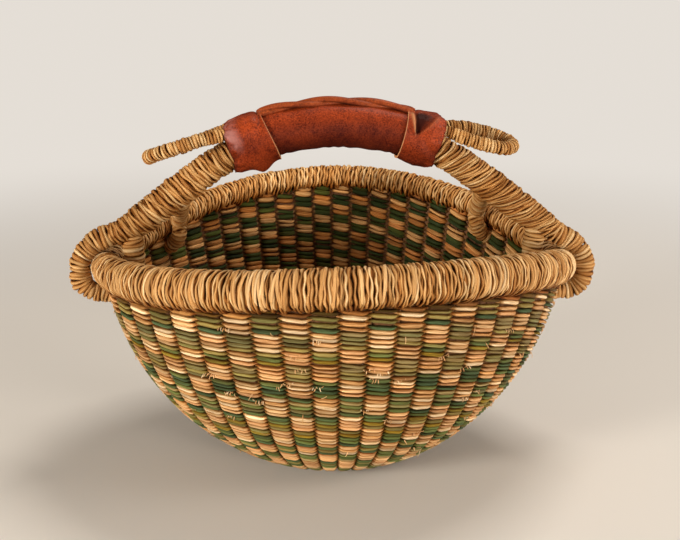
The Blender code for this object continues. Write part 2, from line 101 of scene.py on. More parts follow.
GRIP_HEIGHT = 0.2271
RING_REACH = 0.1715
ARM_RADIUS = 0.0109
GRIP_SHARE = 1.12
ARM_LEAN_START = 0.138
REAR_LEG_RADIUS = 0.0062
REAR_RING_RADIUS = 0.0056
REAR_LEG_TOP_REACH = 0.1015
REAR_LEG_STATION = 4 / (2 * REAR_COLUMN_COUNT)
REAR_RING_GAP = 0.0017
REAR_RING_ANGLES = (math.radians(175), math.radians(472))
CUFF_INNER_REACH = 0.0455
CUFF_OUTER_REACH = 0.0690
SLEEVE_HALF_LENGTH = 0.0500
TAIL_START_REACH = 0.0550
TAIL_INNER = (0.0078, 0.0132, 0.0030)
TAIL_OUTER = (0.0105, 0.0152, 0.0040)
LOOP_RADIUS = 0.0046
LOOP_HALF_WIDTH = 0.0135
LOOP_BOW_SHARES = [(0.25, 0.6), (0.5, 1.0), (0.75, 0.8), (0.93, -0.25)]
LOOP_LENGTHS = {-1: 0.0523, 1: 0.0464}
LOOP_SLOPES = {-1: math.radians(17.5), 1: math.radians(14)}
LOOP_SEEN_ROLLS = {-1: math.radians(11.5), 1: math.radians(-10)}

ARCH_SHARES = [
    (0.0000, 1.0000, GRIP_SHARE),
    (0.2012, 0.9837, GRIP_SHARE),
    (0.2915, 0.9613, GRIP_SHARE),
    (0.3324, 0.9476, 0.936),
    (0.4449, 0.9005, 0.936),
    (0.5149, 0.8657, 0.963),
    (0.6472, 0.7913, 1.000),
    (0.7522, 0.7310, 0.945),
    (0.8280, 0.6944, 0.798),
    (0.8834, 0.6724, 0.679),
]
RING_SHARES = [
    (0.9230, 0.6592, 0.642),
    (0.9621, 0.6350, 0.606),
    (0.9930, 0.5980, 0.606),
    (1.0000, 0.5557, 0.606),
    (0.9872, 0.5240, 0.606),
    (0.9504, 0.5024, 0.550),
    (0.9038, 0.4958, 0.495),
    (0.8455, 0.4932, 0.495),
    (0.8035, 0.5037, 0.532),
    (0.7843, 0.5350, 0.587),
    (0.7831, 0.5812, 0.587),
    (0.7883, 0.6297, 0.587),
    (0.7959, 0.6869, 0.587),
]

SIDE_NAMES = {-1: "left", 1: "right"}


def unit(rows):
    """Rows of vectors, each at length one."""
    return rows / np.maximum(np.linalg.norm(rows, axis=-1, keepdims=True), 1e-12)


def ramp(value, low, high):
    """0 below low, 1 above high, eased between them."""
    share = np.clip((value - low) / (high - low), 0, 1)
    return share * share * (3 - 2 * share)


# Rim and wall, by the same formulas as the solid model


def column_stations(numbers):
    """Station of a place counted in columns, from the right end round by the rear."""
    rear = numbers / (2 * REAR_COLUMN_COUNT)
    front = 0.5 + (numbers - REAR_COLUMN_COUNT) / (2 * FRONT_COLUMN_COUNT)
    return np.where(numbers < REAR_COLUMN_COUNT, rear, front)


def rim_angles(stations):
    """Angle of each station, a share of the way round, evened out by length and crowded front and rear."""
    steps = np.linspace(0, math.pi / 2, 400)
    across = RIM_HALF_LENGTH * np.cos(steps)
    along = RIM_HALF_DEPTH * np.sin(steps) ** RIM_POINTED_SHARE
    lengths = np.concatenate([[0], np.cumsum(np.hypot(np.diff(across), np.diff(along)))])
    shares = stations + COLUMN_CROWDING_SHARE / (4 * math.pi) * np.sin(4 * math.pi * stations)
    quarters = np.floor(shares * 4 + 1e-9)
    rest = shares * 4 - quarters
    mirrored = np.mod(quarters, 2) == 1
    rest = np.where(mirrored, 1 - rest, rest)
    angle = np.interp(rest * lengths[-1], lengths, steps)
    return np.where(mirrored, (quarters + 1) * math.pi / 2 - angle, quarters * math.pi / 2 + angle)


def rim_line(angles):
    """Centre line of the rim: a saddled oval, softly pointed at its ends and a little out of level."""
    side = np.sin(angles)
    end = np.cos(angles)
    middle_height = np.where(side > 0, RIM_REAR_HEIGHT, RIM_FRONT_HEIGHT)
    x = RIM_HALF_LENGTH * end
    y = RIM_HALF_DEPTH * np.sign(side) * np.abs(side) ** RIM_POINTED_SHARE
    z = RIM_END_HEIGHT + (middle_height - RIM_END_HEIGHT) * np.abs(side) ** RIM_SADDLE_SHARE
    z = z - RIM_END_LEAN * np.sign(end) * np.abs(end) ** 6 + RIM_SIDE_LEAN_SHARE * x * np.abs(side)
    return np.stack([x, y, z], axis=-1)


def rim_axes(angles):
    """Outward and upward axes of the rim's section, tipped by the flare of the wall."""
    run = rim_line(angles + 0.004) - rim_line(angles - 0.004)
    outward = unit(np.stack([run[..., 1], -run[..., 0], 0 * run[..., 0]], axis=-1))
    across = outward * math.cos(RIM_FLARE_ANGLE) - UP * math.sin(RIM_FLARE_ANGLE)
    rise = outward * math.sin(RIM_FLARE_ANGLE) + UP * math.cos(RIM_FLARE_ANGLE)
    return across, rise


def rim_halves(angles):
    """Half width and half thickness of the rim, squeezed at the ends and thinner at the rear."""
    fullness = 1 - (1 - np.abs(np.sin(angles))) ** 3
    rear = np.sin(angles) > 0
    halves = []
    for k in range(2):
        middle = np.where(rear, RIM_REAR_HALVES[k], RIM_FRONT_HALVES[k])
        halves.append(RIM_END_HALVES[k] + (middle - RIM_END_HALVES[k]) * fullness)
    return halves


def wall_point(stations, level):
    """Middle surface of the wall: one cubic curve per station from the base ring to the rim's foot."""
    angles = rim_angles(stations)
    turn = 2 * math.pi * stations
    ray = np.stack([np.cos(turn), np.sin(turn), 0 * turn], axis=-1)
    rise = rim_axes(angles)[1]
    start = ray * BASE_RADIUS + UP * BASE_MIDDLE
    second = start + (ray * math.cos(BELLY_RISE_ANGLE) + UP * math.sin(BELLY_RISE_ANGLE)) * BELLY_REACH
    end = rim_line(angles) - rise * WALL_DROP
    third = end - rise * FLANK_REACH
    back = 1 - level
    return back**3 * start + 3 * back**2 * level * second + 3 * back * level**2 * third + level**3 * end


# Lines of the handle, by the same tables as the solid model


def eased_path(controls, count):
    """A smooth line through rows of x, y, z and radius, in even steps of length."""
    rows = np.array(controls, dtype=float)
    padded = np.concatenate([[2 * rows[0] - rows[1]], rows, [2 * rows[-1] - rows[-2]]])
    fine = []
    for k in range(len(rows) - 1):
        before, here, there, after = padded[k : k + 4]
        share = (np.arange(24) / 24)[:, None]
        fine.append(
            here
            + 0.5 * share * (there - before)
            + share**2 * (before - 2.5 * here + 2 * there - 0.5 * after)
            + share**3 * (1.5 * here - 1.5 * there + 0.5 * after - 0.5 * before)
        )
    fine = np.concatenate(fine + [rows[-1:]])
    lengths = np.concatenate([[0], np.cumsum(np.linalg.norm(np.diff(fine[:, :3], axis=0), axis=1))])
    even = np.linspace(0, lengths[-1], count)
    return np.stack([np.interp(even, lengths, fine[:, axis]) for axis in range(4)], axis=-1)


def on_side(shares, side):
    """Rows of x, y, z and radius for one side of the handle, in the plane of the arch."""
    rows = []
    for reach_share, height_share, radius_share in shares:
        reach = reach_share * RING_REACH
        eased = min(1, max(0, (reach - ARM_LEAN_START) / (RIM_HALF_LENGTH - ARM_LEAN_START)))
        height = height_share * GRIP_HEIGHT - side * RIM_END_LEAN * eased
        rows.append((side * reach, 0.0, height, radius_share * ARM_RADIUS))
    return rows


arch_rows = eased_path(on_side(ARCH_SHARES[:0:-1], -1) + on_side(ARCH_SHARES, 1), 400)
ring_rows = {side: eased_path(on_side(ARCH_SHARES[-1:] + RING_SHARES, side), 200) for side in (-1, 1)}


def rear_leg_line(side):
    """Line of a rear leg: from under the arm to the rear wall, through it, and up round the rear rim."""
    station = np.array([REAR_LEG_STATION if side > 0 else 0.5 - REAR_LEG_STATION])
    angles = rim_angles(station)
    centre = rim_line(angles)[0]
    across, rise = (axis[0] for axis in rim_axes(angles))
    width, thickness = (half[0] for half in rim_halves(angles))
    half_across = width + REAR_RING_GAP + REAR_RING_RADIUS
    half_rise = thickness + REAR_RING_GAP + REAR_RING_RADIUS
    ring = []
    for turn in np.linspace(*REAR_RING_ANGLES, 12):
        point = centre + across * half_across * math.cos(turn) + rise * half_rise * math.sin(turn)
        ring.append((*point, REAR_RING_RADIUS))
    top = arch_at(np.array([side * REAR_LEG_TOP_REACH]))[0, :3]
    middle = (top + ring[0][:3]) / 2
    return eased_path([(*top, REAR_LEG_RADIUS), (*middle, REAR_LEG_RADIUS)] + ring, 160)


def arch_at(reach):
    """Points and radius of the handle's line at reaches along X."""
    return np.stack([np.interp(reach, arch_rows[:, 0], arch_rows[:, axis]) for axis in range(4)], axis=-1)


def arch_axes(reach, uprightness=0.0):
    """Axes across the handle's line: along it, sideways, and upwards, which may lean to the vertical."""
    step = 0.002
    run = unit(arch_at(reach + step)[..., :3] - arch_at(reach - step)[..., :3])
    sideways = np.broadcast_to([0.0, 1.0, 0.0], run.shape)
    upwards = np.cross(run, sideways)
    upwards = upwards * np.sign(upwards[..., 2:3])
    return run, sideways, unit(upwards + UP * uprightness)


def tail_place(reach):
    """Where a loop's tail lies on the arm inside a cuff: sideways, upwards and radius."""
    share = np.clip((abs(reach) - TAIL_START_REACH) / (CUFF_OUTER_REACH - TAIL_START_REACH), 0, 1)
    return [inner + (outer - inner) * share for inner, outer in zip(TAIL_INNER, TAIL_OUTER)]


def loop_line(side, roll):
    """Line of a finger loop: a tail on top of the arm, out, round a wide bow turned by roll and back."""
    reach = np.linspace(side * TAIL_START_REACH, side * CUFF_OUTER_REACH, 4)
    inside = arch_at(reach)
    upwards = arch_axes(reach, 1.0)[2]
    near = []
    far = []
    for row, rise in zip(inside, upwards):
        sideways, lift, radius = tail_place(row[0])
        place = row[:3] + rise * lift
        near.append((place[0], -sideways, place[2], radius))
        far.append((place[0], sideways, place[2], radius))
    root = np.array(far[-1])
    length, slope = LOOP_LENGTHS[side], LOOP_SLOPES[side]
    for share, spread in LOOP_BOW_SHARES:
        x = root[0] + side * length * share * math.cos(slope)
        z = root[2] - length * share * math.sin(slope)
        bow = root[1] + (LOOP_HALF_WIDTH - root[1]) * spread if spread > 0 else root[1] * (1 + spread)
        turned = min(1, share * 3) * bow * math.tan(roll)
        far.append((x, bow, z - turned, LOOP_RADIUS))
        near.append((x, -bow, z + turned, LOOP_RADIUS))
    tip = (root[0] + side * length * math.cos(slope), 0.0, root[2] - length * math.sin(slope), LOOP_RADIUS)
    return eased_path(far + [tip] + near[::-1], 260)


# Node sockets with arithmetic


class Sock:
    """A node's output that takes part in sums: each operator adds one math node."""

    def __init__(self, tree, out):
        self.tree = tree
        self.out = out

    def math(self, operation, *values):
        node = self.tree.nodes.new("ShaderNodeMath")
        node.operation = operation
        for slot, value in zip(node.inputs, values):
            plug(self.tree, slot, value)
        return Sock(self.tree, node.outputs[0])

    def __add__(self, other):
        return self.math("ADD", self, other)

    def __radd__(self, other):
        return self.math("ADD", other, self)

    def __sub__(self, other):
        return self.math("SUBTRACT", self, other)

    def __rsub__(self, other):
        return self.math("SUBTRACT", other, self)

    def __mul__(self, other):
        return self.math("MULTIPLY", self, other)

    def __rmul__(self, other):
        return self.math("MULTIPLY", other, self)

    def __truediv__(self, other):
        return self.math("DIVIDE", self, other)

    def __pow__(self, other):
        return self.math("POWER", self, other)

    def __rpow__(self, other):
        return self.math("POWER", other, self)

    def clamp(self, low=0.0, high=1.0):
        return self.math("MAXIMUM", low, self.math("MINIMUM", high, self))

    def ramp(self, low, high):
        """0 at low, 1 at high, eased between."""
        node = self.tree.nodes.new("ShaderNodeMapRange")
        node.interpolation_type = "SMOOTHSTEP"
        for slot, value in zip(node.inputs, (self, low, high, 0.0, 1.0)):
            plug(self.tree, slot, value)
        return Sock(self.tree, node.outputs[0])


def plug(tree, slot, value):
    """Joins a socket to an input, or sets the input's value."""
    if isinstance(value, Sock):
        tree.links.new(value.out, slot)
    else:
        slot.default_value = value


class Look:
    """A material under construction."""

    def __init__(self, name):
        self.material = bpy.data.materials.new(name)
        self.material.use_nodes = True
        self.tree = self.material.node_tree
        self.shader = self.tree.nodes["Principled BSDF"]

    def node(self, kind, output=0, settings=None, **inputs):
        """Any node, with its settings and its inputs by name."""
        node = self.tree.nodes.new(kind)
        for key, value in (settings or {}).items():
            setattr(node, key, value)
        for key, value in inputs.items():
            plug(self.tree, node.inputs[key.replace("_", " ")], value)
        return Sock(self.tree, node.outputs[output])

    def attribute(self, name, output="Fac"):
        return self.node("ShaderNodeAttribute", output, {"attribute_name": name})

    def stretched(self, vector, scale):
        """A vector with each of its parts scaled."""
        node = self.tree.nodes.new("ShaderNodeVectorMath")
        node.operation = "MULTIPLY"
        plug(self.tree, node.inputs[0], vector)
        node.inputs[1].default_value = scale
        return Sock(self.tree, node.outputs[0])

    def noise(self, vector, scale, detail=2.0, roughness=0.5):
        return self.node("ShaderNodeTexNoise", "Fac", Vector=vector, Scale=scale, Detail=detail, Roughness=roughness)

    def mixed(self, share, low, high, blend="MIX"):
        """Two colours mixed by a share."""
        node = self.tree.nodes.new("ShaderNodeMix")
        node.data_type = "RGBA"
        node.blend_type = blend
        plug(self.tree, node.inputs["Factor"], share)
        for slot, value in ((node.inputs[6], low), (node.inputs[7], high)):
            plug(self.tree, slot, (*value, 1) if isinstance(value, tuple) else value)
        return Sock(self.tree, node.outputs[2])

    def finish(self, **inputs):
        """Feeds the shader and gives the material."""
        for key, value in inputs.items():
            plug(self.tree, self.shader.inputs[key.replace("_", " ")], value)
        return self.material

    def bump(self, height, strength, distance):
        return self.node("ShaderNodeBump", 0, Strength=strength, Distance=distance, Height=height)


# Materials


def straw_look(name, roughness, plain, streaked):
    """Split straw: the strand's own tint, streaked along its fibres, with painted shade where it goes under or meets
    its neighbours.
    """
    look = Look(name)
    fibre = look.attribute("fibre", "Vector")
    tint = look.attribute("tint", "Color")
    painted_shade_and_tone = look.attribute("painted_shade_and_tone")
    streaks = look.noise(look.stretched(fibre, (60.0, 2.2, 2.2)), 1.0, 3.0, 0.6).ramp(0.30, 0.70)
    blotch = look.noise(look.stretched(fibre, (45.0, 0.35, 0.35)), 1.0, 2.0).ramp(0.25, 0.75)
    light = plain + streaks * streaked + blotch * 0.26
    low = (1.0 - light).clamp()
    green = light * (1.0 - low * 0.45)
    blue = light * (1.0 - low * 0.92)
    # Painted shade, with a little random straw tone: each channel falls towards what is left of the straw's red, green
    # and blue in full shade.
    under = painted_shade_and_tone.clamp()
    shades = {"Red": light * 0.13**under, "Green": green * 0.046**under, "Blue": blue * 0.008**under}
    warm = look.node("ShaderNodeCombineColor", 0, **shades)
    colour = look.mixed(1.0, tint, warm, "MULTIPLY")
    normal = look.bump(streaks, 0.5, 0.0004)
    rough = roughness + (streaks - 0.5) * -0.2
    return look.finish(Base_Color=colour, Roughness=rough, Normal=normal, Specular_IOR_Level=0.12)


def leather_look(name, dark, bright, edge):
    """Dyed leather: dark red-brown with lighter patches and dark speckles, a fine grain and pale cut edges; painted
    light and wear lighten it, painted shade darkens it, and a painted sheen lies on it.
    """
    look = Look(name)
    place = look.node("ShaderNodeTexCoord", "Object")
    patches = look.noise(place, 60.0, 4.0, 0.62)
    mottle = look.noise(place, 300.0, 3.0, 0.6)
    pebble = look.noise(place, 1000.0, 2.0, 0.6)
    grain = look.node("ShaderNodeTexVoronoi", "Distance", {"feature": "DISTANCE_TO_EDGE"}, Vector=place, Scale=900.0)
    painted_top_light_and_wear = look.attribute("painted_top_light_and_wear")
    painted_shade_and_tone = look.attribute("painted_shade_and_tone")
    cut = look.attribute("cut")
    sheen = look.attribute("sheen")
    # Lighter and more grainy on top as painted light, and where the leather is worn.
    grain_painted_light_and_wear = (pebble - 0.5) * (0.9 + painted_top_light_and_wear * 1.5)
    share = (patches.ramp(0.36, 0.70) * 0.26 + painted_top_light_and_wear * 0.50 + (mottle - 0.5) * 0.5 + grain_painted_light_and_wear + 0.15).clamp()
    colour = look.mixed(share, dark, bright)
    colour = look.mixed((mottle.ramp(0.54, 0.68) * 0.45).clamp(), colour, (0.030, 0.004, 0.002))
    # A painted sheen: a pale pinkish highlight.
    colour = look.mixed((sheen * patches.ramp(0.42, 0.62)).clamp(), colour, (0.50, 0.24, 0.22))
    # Painted shade.
    colour = look.mixed(painted_shade_and_tone, colour, (0.028, 0.004, 0.002))
    colour = look.mixed(cut, colour, edge)
    rough = (0.50 + (mottle - 0.5) * 0.3 + cut * 0.2 + painted_shade_and_tone * 0.45 - sheen * 0.15).clamp(0.25, 1.0)
    height = grain.ramp(0.0, 0.22) * 0.35 + mottle * 0.8
    normal = look.bump(height, 0.30, 0.0004)
    return look.finish(Base_Color=colour, Roughness=rough, Normal=normal, Coat_Weight=0.02, Specular_IOR_Level=0.12)


straw_finish = straw_look("straw_wrapped", 0.45, 0.66, 0.34)
weave_finish = straw_look("straw_woven", 0.52, 0.42, 0.78)
leather_finish = leather_look("leather_red_brown", (0.040, 0.0015, 0.0004), (0.43, 0.060, 0.012), (0.62, 0.29, 0.13))
lace_finish = leather_look("leather_lace", (0.12, 0.014, 0.003), (0.44, 0.090, 0.022), (0.55, 0.24, 0.11))


def dark_core_look():
    """Straw under a wrapping, and the stakes between the wefts, painted dark as their shade."""
    look = Look("straw_core")
    place = look.node("ShaderNodeTexCoord", "Object")
    value = look.noise(place, 500.0, 2.0)
    return look.finish(Base_Color=look.mixed(value, (0.10, 0.035, 0.010), (0.22, 0.095, 0.03)), Roughness=0.8)


core_finish = dark_core_look()


# Meshes


def add_mesh(name, points, quads, finish, replaced=(), caps=(), attributes=None):
    """A smooth-shaded piece from point rows and faces, with its point attributes."""
    mesh = bpy.data.meshes.new(name)
    count = len(quads)
    corners = np.asarray(quads, dtype=np.int32).reshape(-1)
    starts = np.arange(count, dtype=np.int32) * 4
    if len(caps):
        cap_corners = np.concatenate([np.asarray(cap, dtype=np.int32) for cap in caps])
        cap_starts = len(corners) + np.concatenate([[0], np.cumsum([len(cap) for cap in caps])[:-1]])
        corners = np.concatenate([corners, cap_corners])
        starts = np.concatenate([starts, cap_starts.astype(np.int32)])
    mesh.vertices.add(len(points))
    mesh.vertices.foreach_set("co", np.asarray(points, dtype=np.float32).reshape(-1))
    mesh.loops.add(len(corners))
    mesh.loops.foreach_set("vertex_index", corners)
    mesh.polygons.add(len(starts))
    mesh.polygons.foreach_set("loop_start", starts)
    mesh.update(calc_edges=True)
    mesh.validate()
    mesh.shade_smooth()
    for key, values in (attributes or {}).items():
        values = np.asarray(values, dtype=np.float32)
        if key == "tint":
            layer = mesh.attributes.new(key, "FLOAT_COLOR", "POINT")
            layer.data.foreach_set("color", np.column_stack([values, np.ones(len(values))]).reshape(-1))
        elif values.ndim == 2:
            layer = mesh.attributes.new(key, "FLOAT_VECTOR", "POINT")
            layer.data.foreach_set("vector", values.reshape(-1))
        else:
            layer = mesh.attributes.new(key, "FLOAT", "POINT")
            layer.data.foreach_set("value", values)
    mesh.materials.append(finish)
    piece = bpy.data.objects.new(name, mesh)
    bpy.context.scene.collection.objects.link(piece)
    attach(piece, "root")
    if replaced:
        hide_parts(*replaced)
    return piece


def add_strands(
    name, centre, wide_axis, tall_axis, wide, tall, tint, painted_shade_and_tone, finish, slot, replaced=(), closed=False, sides=6, edges=(0.0, 0.0)
):
    """Straws as tubes. Centre is strands by rows by 3; each section is an ellipse of half sizes wide and
    tall along its two axes. Closed strands run back into their own start; open ones get end caps. Edges
    are how much painted shade darkens a straw at its two wide and its two tall edges, where it meets the
    next ones, one tall edge more than the other."""
    strands, rows = centre.shape[:2]
    turns = np.arange(sides) * 2 * math.pi / sides
    cosine, sine = np.cos(turns), np.sin(turns)
    points = (
        centre[:, :, None]
        + wide_axis[:, :, None] * (wide[:, :, None] * cosine)[..., None]
        + tall_axis[:, :, None] * (tall[:, :, None] * sine)[..., None]
    )
    index = np.arange(strands * rows * sides).reshape(strands, rows, sides)
    here, ahead = (index, np.roll(index, -1, axis=1)) if closed else (index[:, :-1], index[:, 1:])
    quads = np.stack([here, ahead, np.roll(ahead, -1, axis=2), np.roll(here, -1, axis=2)], axis=-1).reshape(-1, 4)
    caps = [] if closed else [row for strand in index for row in (strand[0], strand[-1][::-1])]
    steps = np.linalg.norm(np.diff(centre, axis=1), axis=-1)
    lengths = np.concatenate([np.zeros((strands, 1)), np.cumsum(steps, axis=1)], axis=1)
    offset = np.random.default_rng(len(name) + strands).uniform(0, 50, strands)[:, None, None]
    shape = (strands, rows, sides)
    fibre = np.stack(
        [
            np.broadcast_to(lengths[:, :, None], shape),
            np.broadcast_to(cosine, shape) * 2 + offset,
            np.broadcast_to(sine, shape) * 2 + offset,
        ],
        axis=-1,
    )
    attributes = {
        "tint": np.broadcast_to(tint[:, :, None], (*shape, 3)).reshape(-1, 3),
        # Painted shade: the strand's own, plus painted shade at its edges, where it meets the next ones.
        "painted_shade_and_tone": np.clip(painted_shade_and_tone[:, :, None] + edges[0] * cosine**4 + edges[1] * sine**6 * (1 - 0.35 * sine), 0, 1).reshape(-1),
        "fibre": fibre.reshape(-1, 3),
    }
    return add_mesh(name, points.reshape(-1, 3), quads, finish, replaced, caps, attributes)


def wandering(rng, places, knots, low=-1.0, high=1.0):
    """A smooth random value along places: one draw per whole number, eased between draws."""
    draws = rng.uniform(low, high, knots + 2)
    base = np.clip(np.floor(places).astype(int), 0, knots)
    share = places - base
    share = share * share * (3 - 2 * share)
    return draws[base] * (1 - share) + draws[base + 1] * share


# Colours of straw

NATURAL = np.array(
    [[0.76, 0.50, 0.260], [0.88, 0.68, 0.44], [0.61, 0.34, 0.14], [0.75, 0.46, 0.225], [0.68, 0.385, 0.185]]
)
WRAP = np.array(
    [[0.70, 0.415, 0.175], [0.79, 0.515, 0.250], [0.60, 0.325, 0.120], [0.72, 0.435, 0.190], [0.88, 0.650, 0.380]]
)
DYES = {
    "dark": np.array([[0.064, 0.106, 0.045], [0.074, 0.119, 0.053], [0.088, 0.130, 0.049]]),
    "green": np.array([[0.134, 0.178, 0.052], [0.164, 0.200, 0.061], [0.116, 0.154, 0.052]]),
    "olive": np.array([[0.270, 0.228, 0.070], [0.325, 0.262, 0.084], [0.220, 0.204, 0.066]]),
    "muted": np.array([[0.340, 0.266, 0.112], [0.262, 0.234, 0.094], [0.415, 0.324, 0.144], [0.208, 0.198, 0.082]]),
    "yellow": np.array([[0.36, 0.24, 0.022], [0.30, 0.22, 0.028]]),
}

CHECKS = [
    ["olive", "olive", "olive", "olive", "olive", "dark"],
    ["muted", "muted", "muted", "olive"],
    ["olive", "green", "yellow"],
    ["muted", "muted", "olive", "muted"],
    ["green", "dark", "dark", "green"],
    ["dark", "muted", "green", "muted", "green"],
    ["dark", "green", "yellow", "olive"],
    ["olive", "yellow", "green", "green", "dark"],
    ["green", "olive", "dark"],
    ["green", "green", "muted"],
    ["dark", "olive", "green", "green"],
    ["muted", "green", "green", "olive"],
    ["dark", "green", "olive", "green"],
    ["green", "dark", "olive", "green"],
]


def picked(rng, table, count, spread=0.14):
    """Tints drawn from a table, each a little lighter or darker."""
    return table[rng.integers(0, len(table), count)] * rng.uniform(1 - spread, 1 + spread, (count, 1))


# The weave

TOP_PITCH = 0.0038
ROW_PITCH = 0.0030
CHECK_GAP = 0.0005
TOP_ROW_COUNT = 6
WEFT_SWING = 0.0025
WEFT_LEAN = -0.00082
WEFT_RAISE = 0.00035
WEFT_CROSSING_OUT = 0.0007
SAMPLES_PER_COLUMN = 8


def levels_below_rim(drops):
    """Levels of the wall at lengths measured down it from the rim's foot, and the wall's whole length, by
    the mean over the stations."""
    fine = np.linspace(0, 1, 400)
    probe = np.linspace(0, 1, 24, endpoint=False)
    lines = np.stack([wall_point(probe, level) for level in fine])
    lengths = np.linalg.norm(np.diff(lines, axis=0), axis=-1).mean(axis=1)
    along = np.concatenate([[0], np.cumsum(lengths)])
    return np.interp(along[-1] - drops, along, fine), along[-1]


def weave_rows():
    """Level, check and number in its check of each row of the wall, downwards from the rim's foot."""
    wall_length = levels_below_rim(0.0)[1]
    drops, places = [TOP_PITCH / 4], []
    for check in range(60):
        for number in range(len(CHECKS[check % len(CHECKS)])):
            places.append((check, number))
            drops.append(drops[-1] + (TOP_PITCH if len(places) < TOP_ROW_COUNT else ROW_PITCH))
        drops[-1] += CHECK_GAP
    drops = np.array(drops[:-1])
    levels = levels_below_rim(drops)[0]
    return [(level, *place) for level, place, drop in zip(levels, places, drops) if drop < wall_length]


def weft_phase(columns, weft):
    """Turn of a weft round its partner: half a turn per column, so it shows outside on every other one."""
    return math.pi * (columns - 0.5) + weft * math.pi


def wall_axes(stations, level):
    """Middle of the wall at stations on a level, its upward and outward axes, and how far apart its rows
    lie there against their mean."""
    middle = wall_point(stations, level)
    step = 0.004
    climb = wall_point(stations, min(1, level + step)) - wall_point(stations, max(0, level - step))
    length = np.linalg.norm(climb, axis=-1)
    rise = unit(climb)
    along = wall_point(stations + 0.002, level) - wall_point(stations - 0.002, level)
    out = unit(np.cross(along, rise))
    return middle, rise, out, length / length.mean()


def strand_tints(rng, kinds, samples, per_column):
    """Tint along a row: each straw lasts for some columns, then the next one is spliced in."""
    tints = np.empty((samples, 3))
    at = 0
    while at < samples:
        run = int(rng.uniform(3, 11)) * per_column
        tints[at : at + run] = picked(rng, kinds, 1)[0]
        at += run
    return tints


def stitched(rng, values, count, per_column, weft):
    """One random value for each stitch of a weft, which spans two columns from crossing to crossing."""
    draws = values(rng, count // 2 + 1)
    number = (np.arange(count * per_column) // per_column + weft) // 2 % (count // 2)
    return draws[number]


def weft_section(phase, pitch):
    """Half height and half depth of a weft: full where it shows, pointed where it crosses its partner."""
    show = np.abs(np.cos(phase))
    return 0.00074 * pitch / ROW_PITCH + 0.00074 * show**0.9, 0.00160 + 0.00020 * show


def weft_bow(phase):
    """How far out a weft lies, from 1 outside the stakes to -1 inside them: a cosine with a flattened crest."""
    return np.sin(math.pi / 2 * np.clip(1.25 * np.cos(phase), -1, 1))


# The wall's inner face shows checks of dyed and natural straw, tinted darker and warmer than outside: painted shade
# inside the basket.
INNER_SHADED_DYES = np.concatenate([DYES["dark"], DYES["green"]]) * [0.58, 0.55, 0.34]
INNER_SHADE_TONE = np.array([0.92, 0.68, 0.42])
INNER_CHECK_ROWS = 2


def build_weave():
    """All rows of the wall, from the rim's foot down to the base ring, in four bands. A weft's line is the
    wall's row, swung out and in past the stakes by a flattened cosine of its phase, and up and down by
    the sine, so that two wefts twist round each other, each stitch leaning down to the right."""
    rng = np.random.default_rng(7)
    inner_rng = np.random.default_rng(9)
    rows = weave_rows()
    samples = COLUMN_COUNT * SAMPLES_PER_COLUMN
    columns = np.arange(samples) / SAMPLES_PER_COLUMN
    stations = column_stations(columns)
    within = np.mod(columns, 1.0) * 2 - 1
    bands = [[] for _ in range(4)]
    for row, (level, check, number) in enumerate(rows):
        middle, rise, out, spread = wall_axes(stations, level)
        pattern = CHECKS[check % len(CHECKS)]
        pitch = TOP_PITCH if row < TOP_ROW_COUNT else ROW_PITCH
        drift = rng.uniform(0, 1)
        fade = np.minimum(1, np.minimum(columns, COLUMN_COUNT - columns) / 3)
        wobble = wandering(rng, columns / 2.5 + drift, 24) * 0.00030 * fade
        for weft in (0, 1):
            phase = weft_phase(columns, weft)
            bowed = weft_bow(phase)
            dyed = (weft + check) % 2 == 0
            kinds = DYES[pattern[number]] if dyed else NATURAL
            tint = strand_tints(rng, kinds, samples, SAMPLES_PER_COLUMN)
            per = (COLUMN_COUNT, SAMPLES_PER_COLUMN, weft)
            tone = stitched(rng, lambda r, n: r.uniform(0.70, 1.20, n), *per)
            size = stitched(rng, lambda r, n: np.where(r.random(n) < 0.14, 0.62, r.uniform(0.80, 1.16, n)), *per)
            lift = stitched(rng, lambda r, n: r.uniform(-1, 1, n), *per)
            tilt = stitched(rng, lambda r, n: r.normal(0, 1, n), *per)
            show = np.abs(bowed)
            half_tall, half_deep = weft_section(phase, pitch)
            half_tall = half_tall * (1 + (size - 1) * show) * spread
            centre = middle + out * (bowed * WEFT_SWING + WEFT_CROSSING_OUT * (1 - show) + 0.0003 * (size - 1))[:, None]
            sway = WEFT_LEAN * np.sin(phase) + WEFT_RAISE * np.cos(phase) + wobble
            sway = sway + (lift * 0.00034 + tilt * within * 0.00030 - 0.00035) * show
            centre = centre + rise * sway[:, None]
            inside = np.clip(-bowed * 2, 0, 1)
            half_tall = half_tall * (1 + 0.30 * inside)
            green = strand_tints(inner_rng, INNER_SHADED_DYES, samples, SAMPLES_PER_COLUMN)
            straw = strand_tints(inner_rng, NATURAL * INNER_SHADE_TONE, samples, SAMPLES_PER_COLUMN)
            shown = np.where(((row // INNER_CHECK_ROWS + columns.astype(int)) % 2 == 0)[:, None], green, straw)
            tint = tint + (shown - tint) * inside[:, None]
            # Painted shade where a weft crosses its partner, and on the three rows just under the rim as the rim's
            # painted shadow; less on the inner face.
            painted_shade_and_tone = np.clip(1 - show * 1.9, 0, 1) * 0.42 + (0.45 if row < 3 else 0.0) - 0.45 * inside
            bands[row * 4 // len(rows)].append(
                (centre, out, rise, half_deep, half_tall, tint * tone[:, None], painted_shade_and_tone)
            )
    for number, band in enumerate(bands):
        stacked = [np.stack(values) for values in zip(*band)]
        # Painted shade along each weft's upper and lower edges, between the rows, the lower edge darker.
        add_strands(
            f"weave_band_{number + 1}", *stacked, weave_finish, "weave", ("woven_bowl",), closed=True, sides=8, edges=(0, 0.86)
        )


